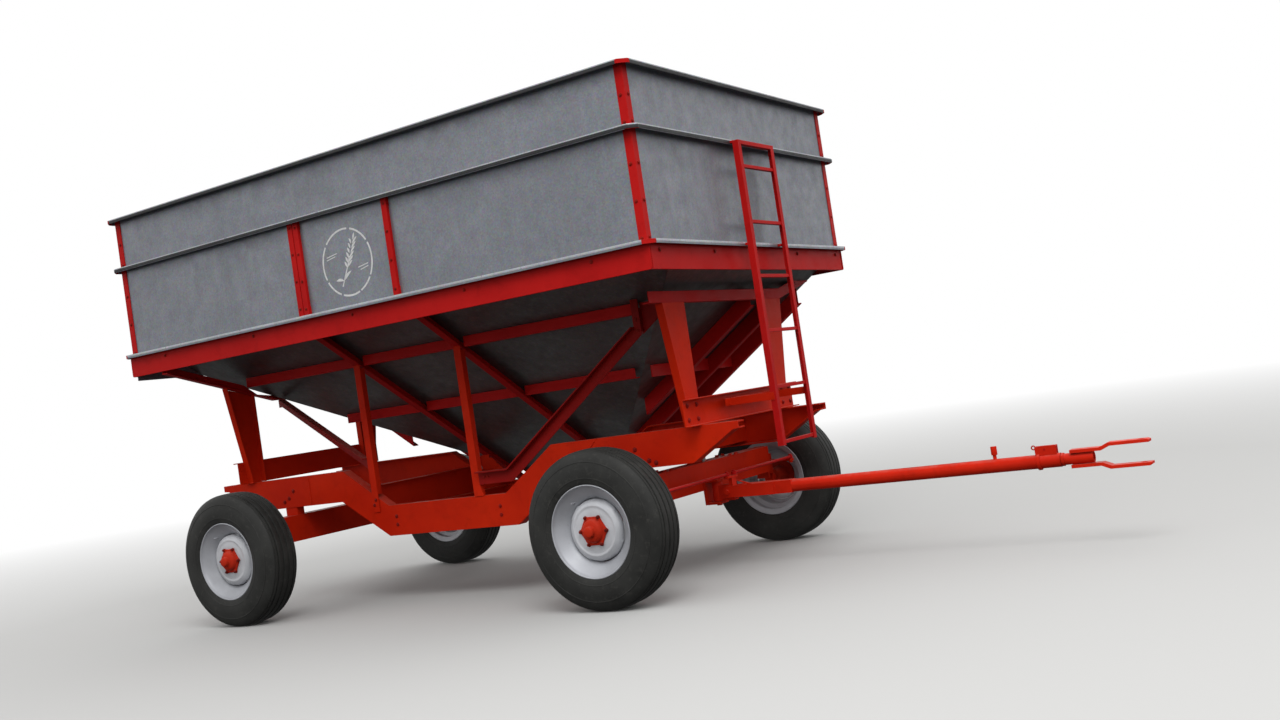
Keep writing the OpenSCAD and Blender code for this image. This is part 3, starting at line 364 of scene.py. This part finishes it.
def bead(bm, a, b, r=0.004, seed=0):
    """Weld bead: an uneven half round laid along a joint in short ripples."""
    a, b = Vector(a), Vector(b)
    length = (b - a).length
    steps = max(4, int(length / (r * 1.4)))
    n, u, v = frame_of(b - a)
    last = None
    for i in range(steps + 1):
        t = i / steps
        swell = 1 + 0.16 * math.sin(i * 2.4 + seed) + 0.14 * noise.noise(Vector((i * 0.37, seed, 0)))
        if i in (0, steps):
            swell *= 0.35
        ring = [bm.verts.new(a.lerp(b, t) + (u * math.cos(q) + v * math.sin(q)) * r * swell)
                for q in [2 * pi * k / 8 for k in range(8)]]
        if last:
            for k in range(8):
                j = (k + 1) % 8
                bm.faces.new((last[k], last[j], ring[j], ring[k]))
        else:
            bm.faces.new(ring)
        last = ring
    bm.faces.new(last)


# ---- wheels

MM = 0.001
DISC_EDGE = 0.1575
TYRE_HALF = [(229, 84), (228.5, 92), (229, 100), (231, 106), (235, 109.5), (241, 111.5), (250, 113.5),
             (262, 115.2), (263.5, 116.6), (266, 116.8), (267.5, 115.8), (285, 116.4), (305, 116.0),
             (325, 113.8), (341, 110.4), (342.5, 111.3), (345, 111.0), (346.5, 108.9), (358, 105.4),
             (369, 100.0), (378, 93.2), (384, 86.8), (387.4, 82.6), (388.4, 79.8), (386.2, 77.6),
             (385.4, 75.2), (386.6, 73.0), (391.6, 71.6), (393.4, 66.0), (394.6, 62.2), (393.2, 60.4),
             (386.2, 59.2), (385.6, 56.0), (386.2, 52.8), (395.0, 51.6), (396.4, 50.0), (397.8, 40.0),
             (398.6, 25.6), (397.4, 24.0), (389.2, 22.6), (388.6, 19.0), (389.2, 15.4), (398.4, 14.0),
             (399.4, 12.4), (399.9, 4.0)]
RIM_OUTER = [(224.5, 99.0), (229.0, 100.5), (232.6, 103.4), (233.8, 107.0), (232.4, 110.2), (229.2, 111.4),
             (226.2, 110.2), (224.6, 107.4), (223.6, 103.6), (221.0, 98.4), (216.0, 92.6), (208.0, 85.2),
             (198.0, 76.6), (187.0, 67.4), (176.5, 58.0), (168.0, 49.2), (162.4, 42.4), (159.4, 37.0),
             (158.6, 31.0)]
RIM_BACK = [(158.6, 31.0), (162.0, 24.0), (172.0, 12.0), (174.0, -36.0), (178.0, -48.0), (200.0, -62.0),
            (202.0, -96.0), (205.0, -100.0), (224.0, -101.0), (229.0, -103.0), (231.0, -107.0),
            (227.0, -109.5), (221.0, -106.0), (206.0, -104.5), (197.0, -100.0), (196.0, -64.0),
            (172.0, -52.0), (168.0, -38.0), (167.0, 12.0), (156.0, 22.0), (153.0, 30.0)]
DISC = [(59.0, 64.0), (59.0, 70.6), (60.6, 72.2), (64.0, 72.6), (88.0, 72.4), (104.0, 71.6), (112.0, 70.2),
        (117.0, 70.8), (122.0, 72.4), (126.5, 72.2), (130.5, 69.8), (137.0, 67.0), (144.0, 62.6),
        (149.6, 56.6), (153.4, 49.0), (155.0, 42.0), (155.0, 34.0), (151.0, 34.0), (147.0, 50.0),
        (140.0, 60.0), (126.0, 66.0), (100.0, 66.6), (59.0, 64.0)]
HUB_BASE = [(56.0, 66.0), (63.0, 72.4), (64.0, 74.0), (64.0, 78.4), (62.6, 80.4), (60.4, 83.0), (58.4, 88.0),
            (56.0, 94.0), (52.4, 99.8), (47.4, 104.0), (41.0, 106.8), (34.0, 108.2), (30.0, 108.8),
            (28.4, 110.2), (27.8, 113.0), (27.6, 124.0), (27.0, 127.4), (25.0, 130.0), (21.0, 131.8),
            (14.0, 133.2), (6.0, 133.8), (1.2, 134.0)]


def mm(points, mirror=False):
    return [(r * MM, (-w if mirror else w) * MM) for r, w in points]


def fuller(points):
    """Swell the shoulder and side of a tyre's section, and a little less the tread, as air does."""
    rows = []
    for r, w in points:
        shoulder = min(1.0, max(0.0, (r - 330) / 60))
        sidewall = min(1.0, max(0.0, (r - 235) / 50))
        tread = 0.4 * max(0.0, r - 390)
        rows.append((r + 6.5 * shoulder - tread, w * (1.0 + 0.026 * sidewall)))
    return rows


def slotted(i, r, a):
    """The disc's rim stands clear of the dish along four arcs and meets it between them."""
    if r < 0.1525:
        return r
    k = math.cos(4 * (a - 0.12))
    meet = min(1.0, max(0.0, (-k - 0.35) / 0.25))
    return r + 0.0042 * meet - 0.0008


def lobed(i, r, a):
    """The hub's foot reaches out round each of the six studs."""
    if not 1 <= i <= 4:
        return r
    d = ((a + pi / 6) % (pi / 3)) - pi / 6
    flat = 0.0705 / math.cos((a % (pi / 3)) - pi / 6)
    return max(r, flat - (0.064 - min(r, 0.064)) + 0.0052 * math.exp(-(d / 0.11) ** 2))


def wheel(place, side):
    """One wheel: ribbed tyre, dished rim with its disc, and the hub with six studs and a dust cap."""
    out = -1 if side == "right" else 1
    body = "wheel_%s_%s" % (place, side)
    hub = at(AXLES[place], out * TYRE_Y, WHEEL_Z)
    tag = "%s_%s" % (place, side)

    bm = bmesh.new()
    half = fuller(TYRE_HALF)
    mirrored = list(reversed(mm(half, True)))
    inner = [(0.229, -0.084), (0.25, -0.096), (0.30, -0.1), (0.345, -0.094), (0.37, -0.07), (0.378, 0),
             (0.37, 0.07), (0.345, 0.094), (0.30, 0.1), (0.25, 0.096), (0.229, 0.084)]
    rings = lathe(bm, mm(half) + mirrored + inner[1:-1], hub, out, 144)
    for k in range(144):
        j = (k + 1) % 144
        bm.faces.new((rings[-1][k], rings[-1][j], rings[0][j], rings[0][k]))
    tyre = finish_mesh("ribbed_tyre_" + tag, bm, "tyre_rubber", body, 0.5)
    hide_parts("tyre_" + tag)

    bm = bmesh.new()
    a = lathe(bm, mm(RIM_OUTER), hub, out, 120)
    b = lathe(bm, mm(RIM_BACK)[1:], hub, out, 120)
    for k in range(120):
        j = (k + 1) % 120
        bm.faces.new((a[-1][k], a[-1][j], b[0][j], b[0][k]))
    lathe(bm, mm(DISC), hub, out, 240, slotted)
    for k in range(4):
        q = 0.12 + pi / 4 + k * pi / 2
        prev = None
        for i in range(-3, 4):
            t = q + i * 0.045
            spot = hub + Vector((0.1585 * math.cos(t), out * 0.0385, 0.1585 * math.sin(t)))
            if prev:
                bead(bm, prev, spot, 0.0022, i + k)
            prev = spot
    valve = hub + Vector((0.178 * math.cos(2.2), out * 0.060, 0.178 * math.sin(2.2)))
    prism(bm, valve, (0, out, 0), [(0.0042, -0.012), (0.0042, 0.010), (0.0034, 0.012), (0.0034, 0.026),
                                   (0.0026, 0.028)], 16)
    rim = finish_mesh("dished_rim_" + tag, bm, "rim_silver", body, 0.7)
    # Faces outside the disc edge take the darker silver, painted shade on the rim's dish, lip and valve.
    rim.data.materials.append(MATS["rim_painted_shade"])
    for face in rim.data.polygons:
        middle = face.center - hub
        if math.hypot(middle.x, middle.z) > DISC_EDGE:
            face.material_index = 1
    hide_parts("rim_" + tag)

    bm = bmesh.new()
    rings = lathe(bm, mm(HUB_BASE), hub, out, 144, lobed)
    cap(bm, rings[-1])
    studs = bmesh.new()
    for k in range(6):
        q = k * pi / 3
        spot = hub + Vector((0.0765 * math.cos(q), out * 0.0786, 0.0765 * math.sin(q)))
        prism(studs, spot, (0, out, 0), [(0.0102, -0.001), (0.0102, 0.0014)], 24)
        nut = [(0.0090, 0.001), (0.0090, 0.0086), (0.0078, 0.0098), (0.0050, 0.0100)]
        prism(studs, spot, (0, out, 0), nut, 6, 0.3 + k)
        prism(studs, spot, (0, out, 0), [(0.0048, 0.009), (0.0048, 0.0142), (0.0040, 0.0150)], 14)
    finish_mesh("hub_studs_" + tag, studs, "stud_red", body, 0.6)
    back = [(0.020, -0.06), (0.044, -0.058), (0.050, -0.03), (0.054, 0.04), (0.058, 0.05), (0.088, 0.052),
            (0.090, 0.054), (0.090, 0.0632), (0.087, 0.0636), (0.056, 0.0636)]
    rings = lathe(bm, back, hub, out, 72)
    cap(bm, rings[0])
    hubo = finish_mesh("studded_hub_" + tag, bm, "hub_red", body, 0.6)
    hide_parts("hub_" + tag)


for place in ("front", "rear"):
    for side in ("right", "left"):
        wheel(place, side)


# ---- bolts and welds on the box

def box_fasteners():
    """Bolts along the corner posts, stiffeners and skirt, and the posts' welds."""
    bm = bmesh.new()
    for ex in (-1, 1):
        for sy in (-1, 1):
            for z in (2.432, 2.302, 2.104, 1.927, 1.750):
                on_side = at(ex * (WALL_X - 0.022), sy * (WALL_Y + 0.005), z)
                on_end = at(ex * (WALL_X + 0.005), sy * (WALL_Y - 0.022), z + 0.003)
                bolt(bm, on_side, (0, sy, 0), 0.0065, z * 9)
                bolt(bm, on_end, (ex, 0, 0), 0.0065, z * 7)
        for y in (-1.033, -0.492, 0.492, 1.033):
            bolt(bm, at(ex * (WALL_X + 0.015), y, 1.692), (ex, 0, 0), 0.008, y * 5)
    for sy in (-1, 1):
        for x in (-0.383, -0.339, 0.341):
            for z in (1.775, 1.930, 2.085, 2.235):
                bolt(bm, at(x, sy * (WALL_Y + 0.020), z + (x % 0.01)), (0, sy, 0), 0.0058, z * 11)
        for x in (-1.60, -0.80, 0.0, 0.80, 1.60):
            bolt(bm, at(x, sy * (WALL_Y + 0.015), 1.692), (0, sy, 0), 0.007, x * 3)
    finish_mesh("box_bolts", bm, "bolt_red", BOX_BODY, 0.5)

    bm = bmesh.new()
    for ex in (-1, 1):
        for sy in (-1, 1):
            x, y = ex * (WALL_X + 0.016), sy * (WALL_Y + 0.016)
            bead(bm, at(x, y - sy * 0.002, 1.602), at(x, y - sy * 0.002, 1.732), 0.003, ex + sy)
    for sy in (-1, 1):
        for x in (-0.402, -0.364, -0.358, -0.320, 0.322, 0.360):
            bead(bm, at(x, sy * (WALL_Y + 0.002), 1.742), at(x, sy * (WALL_Y + 0.002), 1.790), 0.003, x * 40)
            bead(bm, at(x, sy * (WALL_Y + 0.002), 2.220), at(x, sy * (WALL_Y + 0.002), 2.272), 0.003, x * 30)
    finish_mesh("box_welds", bm, "box_red", BOX_BODY, 0.9)


def chassis_fasteners():
    """Bolts and weld beads on the rails, bolsters, legs, posts and front axle."""
    bm = bmesh.new()
    for sy in (-1, 1):
        for x, z in ((1.309, 0.744), (1.388, 0.679), (1.429, 0.664), (1.250, 0.700)):
            bolt(bm, at(x, sy * RAIL_Y, z), (0, sy, 0), 0.009, x * 7)
        for x, z in ((-1.300, 0.744), (-1.390, 0.679), (-1.345, 0.700)):
            bolt(bm, at(x, sy * RAIL_Y, z), (0, sy, 0), 0.009, x * 5)
        for x, z in ((-0.447, 0.470), (-0.447, 0.520), (0.353, 0.470), (0.353, 0.520)):
            bolt(bm, at(x, sy * RAIL_Y, z), (0, sy, 0), 0.008, z * 50)
        for x in (1.696, -1.678):
            ex = 1 if x > 0 else -1
            for y in (0.500, 0.596):
                for z in (0.862, 0.936):
                    bolt(bm, at(x, sy * y, z), (ex, 0, 0), 0.009, y * z * 40)
    for x, z in ((-0.608, 0.600), (-0.592, 0.630)):
        bolt(bm, at(x, -RAIL_Y - 0.006, z), (0, -1, 0), 0.0075, x * 60)
    for x, z in ((0.300, 0.696), (0.274, 0.696)):
        bolt(bm, at(x, -RAIL_Y - 0.007, z), (0, -1, 0), 0.0075, x * 60)
    for x, z in ((1.440, 1.362), (1.440, 1.420)):
        bolt(bm, at(x, -RAIL_Y - 0.007, z), (0, -1, 0), 0.0075, z * 60)
    finish_mesh("chassis_bolts", bm, "bolt_red", BOX_BODY, 0.5)

    bm = bmesh.new()
    for sy in (-1, 1):
        y = sy * (RAIL_Y + 0.0005)
        bead(bm, at(1.066, y, 0.822), at(1.018, y, 0.776), 0.004, 3)
        bead(bm, at(1.018, y, 0.776), at(0.985, y, 0.700), 0.004, 5)
        bead(bm, at(-1.150, y, 0.822), at(-1.150, y, 0.650), 0.004, 7)
        for x in (1.690, -1.672):
            ex = 1 if x > 0 else -1
            inner = x - ex * 0.043
            face = x - ex * 0.002
            bead(bm, at(face, sy * 0.462, LEG_FOOT), at(face, sy * 0.564, LEG_FOOT), 0.0045, x)
            bead(bm, at(inner, sy * 0.5665, LEG_FOOT), at(x - ex * 0.006, sy * 0.5665, LEG_FOOT), 0.004, y)
    for x0, x1, foot in ((-0.620, -0.570, 0.557), (0.180, 0.232, 0.5885)):
        bead(bm, at(x0 + 0.002, -RAIL_Y - 0.001, foot), at(x1 - 0.002, -RAIL_Y - 0.001, foot), 0.004, x0)
        bead(bm, at(x0 + 0.004, -RAIL_Y - 0.003, 1.4575), at(x1 - 0.004, -RAIL_Y - 0.003, 1.4575), 0.0035, x1)
    finish_mesh("chassis_welds", bm, "chassis_red", BOX_BODY, 0.9)

    bm = bmesh.new()
    x = AXLES["front"]
    bead(bm, at(x - 0.03, -0.034, 0.601), at(x + 0.03, -0.034, 0.601), 0.005, 1)
    bead(bm, at(x - 0.03, 0.034, 0.601), at(x + 0.03, 0.034, 0.601), 0.005, 2)
    for sy in (-1, 1):
        bead(bm, at(1.301, sy * 0.7975, 0.5985), at(1.381, sy * 0.7975, 0.5985), 0.0045, sy)
        for x in (1.296, 1.386):
            bolt(bm, at(x, sy * 0.410, 0.600), (0, 0, 1), 0.011, x * 9)
            bolt(bm, at(x, sy * 0.340, 0.600), (0, 0, 1), 0.011, x * 8)
    bead(bm, at(1.402, -0.046, 0.495), at(1.402, 0.046, 0.495), 0.005, 9)
    finish_mesh("front_axle_details", bm, "chassis_red", "front_axle", 0.6)


def strip(bm, profile, a, b, outward):
    """Sweep a small section (out, up) from a to b; the section's ends are closed."""
    a, b, out = Vector(a), Vector(b), Vector(outward).normalized()
    rings = [[bm.verts.new(p + out * o + Vector((0, 0, u))) for o, u in profile] for p in (a, b)]
    n = len(profile)
    for k in range(n):
        j = (k + 1) % n
        bm.faces.new((rings[0][k], rings[0][j], rings[1][j], rings[1][k]))
    bm.faces.new(rings[0])
    bm.faces.new(rings[1])


def flange_edge_highlights():
    """Pale strips along the flanges' rolled outer edges, a painted highlight brighter than the sheet; under
    the middle and top lips, dark strips of painted shade.
    """
    bm = bmesh.new()
    # The pale edge strips are painted highlight where light falls on the lips.
    thin = [(-0.005, 0.0), (-0.0045, 0.0007), (-0.001, 0.0009), (0.0007, 0.0005), (0.0012, -0.0008),
            (0.0012, -0.0044), (0.0008, -0.0054), (-0.0005, -0.0056)]
    wide = [(o, u * 2.1 if u < 0 else u) for o, u in thin]
    # Dark strip below each lip: painted shade standing in for the shadow under the flange.
    shade = [(-0.0004, -0.0050), (0.0008, -0.0056), (0.0010, -0.0070), (0.0010, -0.0196), (0.0004, -0.0216),
             (-0.0036, -0.0218), (-0.0038, -0.0212), (-0.0006, -0.0210)]
    out = 0.050
    cut = 0.012
    dark = bmesh.new()
    for place, top in FLANGE_TOPS.items():
        roll = wide if place == "base" else thin
        for sy in (-1, 1):
            y = sy * (WALL_Y + out)
            if place != "base":
                strip(dark, shade, at(-WALL_X, y, top), at(WALL_X, y, top), (0, sy, 0))
            strip(bm, roll, at(-WALL_X, y, top), at(WALL_X, y, top), (0, sy, 0))
        for ex in (-1, 1):
            x = ex * (WALL_X + out)
            if place != "base":
                strip(dark, shade, at(x, -WALL_Y + 0.003, top), at(x, WALL_Y - 0.003, top), (ex, 0, 0))
            strip(bm, roll, at(x, -WALL_Y + 0.003, top), at(x, WALL_Y - 0.003, top), (ex, 0, 0))
            if place != "middle":
                continue
            for sy in (-1, 1):
                low = top - 0.001
                corners = [at(ex * WALL_X, sy * (WALL_Y + out), low),
                           at(ex * (WALL_X + cut), sy * (WALL_Y + out), low),
                           at(ex * (WALL_X + out), sy * (WALL_Y + cut), low),
                           at(ex * (WALL_X + out), sy * (WALL_Y - 0.003), low)]
                for a, b, way in zip(corners, corners[1:], ((0, sy, 0), (ex, sy, 0), (ex, 0, 0))):
                    strip(bm, roll, a, b, way)
                    strip(dark, shade, a, b, way)
    # Pale strips: painted highlight along the lips.
    finish_mesh("flange_edge_highlights", bm, "edge_highlight_zinc", BOX_BODY, 0.5)
    # Dark strips: painted shade beneath the middle and top lips.
    finish_mesh("flange_lip_shade_strips", dark, "lip_shade", BOX_BODY, 0.5)


box_fasteners()
chassis_fasteners()
flange_edge_highlights()


# ---- stencilled mark: a broken ring round an ear of grain, with no lettering

def leaf(points, half, bend):
    """Outline of a leaf from points[0] to points[1], bulging to each side by half."""
    a, b = Vector(points[0]), Vector(points[1])
    d = b - a
    side = Vector((-d.y, d.x)).normalized()
    line = []
    for k in range(9):
        t = k / 8
        line.append(a + d * t + side * (half * math.sin(pi * t) + bend * math.sin(pi * t)))
    for k in range(7, 0, -1):
        t = k / 8
        line.append(a + d * t - side * (half * math.sin(pi * t) - bend * math.sin(pi * t)))
    return line


def stencil():
    """The stencilled ring and ear of grain, each stroke a thin raised plate."""
    bm = bmesh.new()
    cx, cz, y = 0.005, 1.981, -WALL_Y - 0.0004
    r0, r1 = 0.1785, 0.1885

    def flat(points):
        low = [bm.verts.new(at(cx + p[0], y, cz + p[1])) for p in points]
        high = [bm.verts.new(at(cx + p[0], y - 0.0004, cz + p[1])) for p in points]
        bm.faces.new(high)
        for k in range(len(points)):
            j = (k + 1) % len(points)
            bm.faces.new((low[k], low[j], high[j], high[k]))

    for start, end in ((-1.15, -0.62), (-0.55, 0.45), (0.54, 1.30), (1.42, 2.42), (2.52, 3.55), (3.64, 4.28),
                       (4.38, 5.06)):
        steps = max(6, int((end - start) * 18))
        for i in range(steps):
            a0, a1 = start + (end - start) * i / steps, start + (end - start) * (i + 1) / steps
            flat([(r0 * math.cos(a0), r0 * math.sin(a0)), (r1 * math.cos(a0), r1 * math.sin(a0)),
                  (r1 * math.cos(a1), r1 * math.sin(a1)), (r0 * math.cos(a1), r0 * math.sin(a1))])
    stem = [(-0.058, -0.128), (-0.030, -0.075), (0.0, -0.02), (0.022, 0.03)]
    for p, q in zip(stem, stem[1:]):
        d = (Vector(q) - Vector(p)).normalized()
        n = Vector((-d.y, d.x)) * 0.0035
        flat([(p[0] - n.x, p[1] - n.y), (q[0] - n.x, q[1] - n.y), (q[0] + n.x, q[1] + n.y),
              (p[0] + n.x, p[1] + n.y)])
    for k in range(6):
        base = Vector((-0.004 + 0.011 * k, -0.030 + 0.024 * k))
        for s in (-1, 1):
            tip = base + Vector((0.030 * s + 0.014, 0.036))
            flat(leaf([base + Vector((0.004 * s, 0.003)), tip], 0.0062, 0.002 * s))
    flat(leaf([(0.062, 0.112), (0.078, 0.150)], 0.006, 0))
    for s in (-1, 1):
        flat(leaf([(-0.040, -0.098), (-0.040 + 0.062 * s, -0.070 + 0.02 * s)], 0.008, 0.006 * s))
    for x0, x1, z0 in ((-0.150, -0.070, 0.045), (0.075, 0.152, -0.045), (-0.152, -0.084, 0.030),
                       (0.090, 0.150, -0.060)):
        flat([(x0, z0), (x1, z0 + 0.012), (x1, z0 + 0.017), (x0, z0 + 0.005)])
    finish_mesh("grain_ear_stencil", bm, "stencil_white", BOX_BODY, smooth=False)


stencil()


# ---------------------------------------------------------------- floor, light, camera

def stage_floor():
    """Pale floor that fades to white with distance."""
    me = bpy.data.meshes.new("floor")
    s = 400.0
    me.from_pydata([(-s, -s, 0), (s, -s, 0), (s, s, 0), (-s, s, 0)], [], [(0, 1, 2, 3)])
    o = bpy.data.objects.new("floor", me)
    scene.collection.objects.link(o)
    m, t, b = new_material("pale_floor")
    b.inputs["Base Color"].default_value = (0.45, 0.449, 0.442, 1)
    b.inputs["Roughness"].default_value = 0.9
    b.inputs["Specular IOR Level"].default_value = 0.1
    n = Net(t)
    dist = t.nodes.new("ShaderNodeVectorMath")
    dist.operation = "LENGTH"
    t.links.new(n.co, dist.inputs[0])
    fade = n.ramp(dist.outputs["Value"], 4.8, 17.0)
    glow = t.nodes.new("ShaderNodeEmission")
    glow.inputs[0].default_value = (1, 1, 1, 1)
    both = t.nodes.new("ShaderNodeMixShader")
    n.put(both.inputs[0], fade)
    t.links.new(b.outputs[0], both.inputs[1])
    t.links.new(glow.outputs[0], both.inputs[2])
    out = [x for x in t.nodes if x.type == "OUTPUT_MATERIAL"][0]
    t.links.new(both.outputs[0], out.inputs[0])
    me.materials.append(m)
    o.visible_diffuse = False
    o.visible_glossy = False


def area_light(name, place, target, size, power):
    d = bpy.data.lights.new(name, "AREA")
    d.shape = "SQUARE"
    d.size = size
    d.energy = power
    o = bpy.data.objects.new(name, d)
    scene.collection.objects.link(o)
    o.location = place
    o.rotation_euler = (Vector(target) - Vector(place)).to_track_quat("-Z", "Y").to_euler()


def camera():
    """Low from the front right, rolled a little as the wagon was seen."""
    yaw, pitch, roll = 0.5614, -0.0250, -0.1482
    cy, sy, cp, sp = math.cos(yaw), math.sin(yaw), math.cos(pitch), math.sin(pitch)
    d = Vector((-sy * cp, cy * cp, -sp))
    r = Vector((cy, sy, 0))
    u = r.cross(d)
    c, s = math.cos(roll), math.sin(roll)
    right, up = c * r + s * u, -s * r + c * u
    cam = bpy.data.objects.new("camera", bpy.data.cameras.new("camera"))
    scene.collection.objects.link(cam)
    cam.data.lens = 35.97
    cam.data.sensor_width = 36
    cam.data.clip_end = 1000
    m = Matrix((right, up, -d)).transposed().to_4x4()
    m.translation = (4.0895, -6.2768, 1.040)
    cam.matrix_world = m
    scene.camera = cam


stage_floor()
camera()


GROUND_LIGHT = 0.12
SKY_TOP = 1.6


def studio_world():
    """White above the horizon, dim below it, so undersides fall into shade."""
    w = bpy.data.worlds.new("studio")
    w.use_nodes = True
    t = w.node_tree
    back = t.nodes["Background"]
    co = t.nodes.new("ShaderNodeTexCoord")
    xyz = t.nodes.new("ShaderNodeSeparateXYZ")
    t.links.new(co.outputs["Generated"], xyz.inputs[0])
    level = t.nodes.new("ShaderNodeMapRange")
    level.inputs["From Min"].default_value = -0.05
    level.inputs["From Max"].default_value = -0.02
    level.inputs["To Min"].default_value = GROUND_LIGHT
    level.inputs["To Max"].default_value = 1.0
    t.links.new(xyz.outputs[2], level.inputs["Value"])
    top = t.nodes.new("ShaderNodeMapRange")
    top.inputs["From Min"].default_value = 0.45
    top.inputs["From Max"].default_value = 1.0
    top.inputs["To Min"].default_value = 1.0
    top.inputs["To Max"].default_value = SKY_TOP
    t.links.new(xyz.outputs[2], top.inputs["Value"])
    mul = t.nodes.new("ShaderNodeMath")
    mul.operation = "MULTIPLY"
    t.links.new(level.outputs[0], mul.inputs[0])
    t.links.new(top.outputs[0], mul.inputs[1])
    t.links.new(mul.outputs[0], back.inputs[1])
    back.inputs[0].default_value = (1, 1, 1, 1)
    scene.world = w


studio_world()
area_light("key", (4.2, -5.6, 8.0), (0, 0, 1.2), 5.0, 440)
scene.view_settings.view_transform = "Standard"
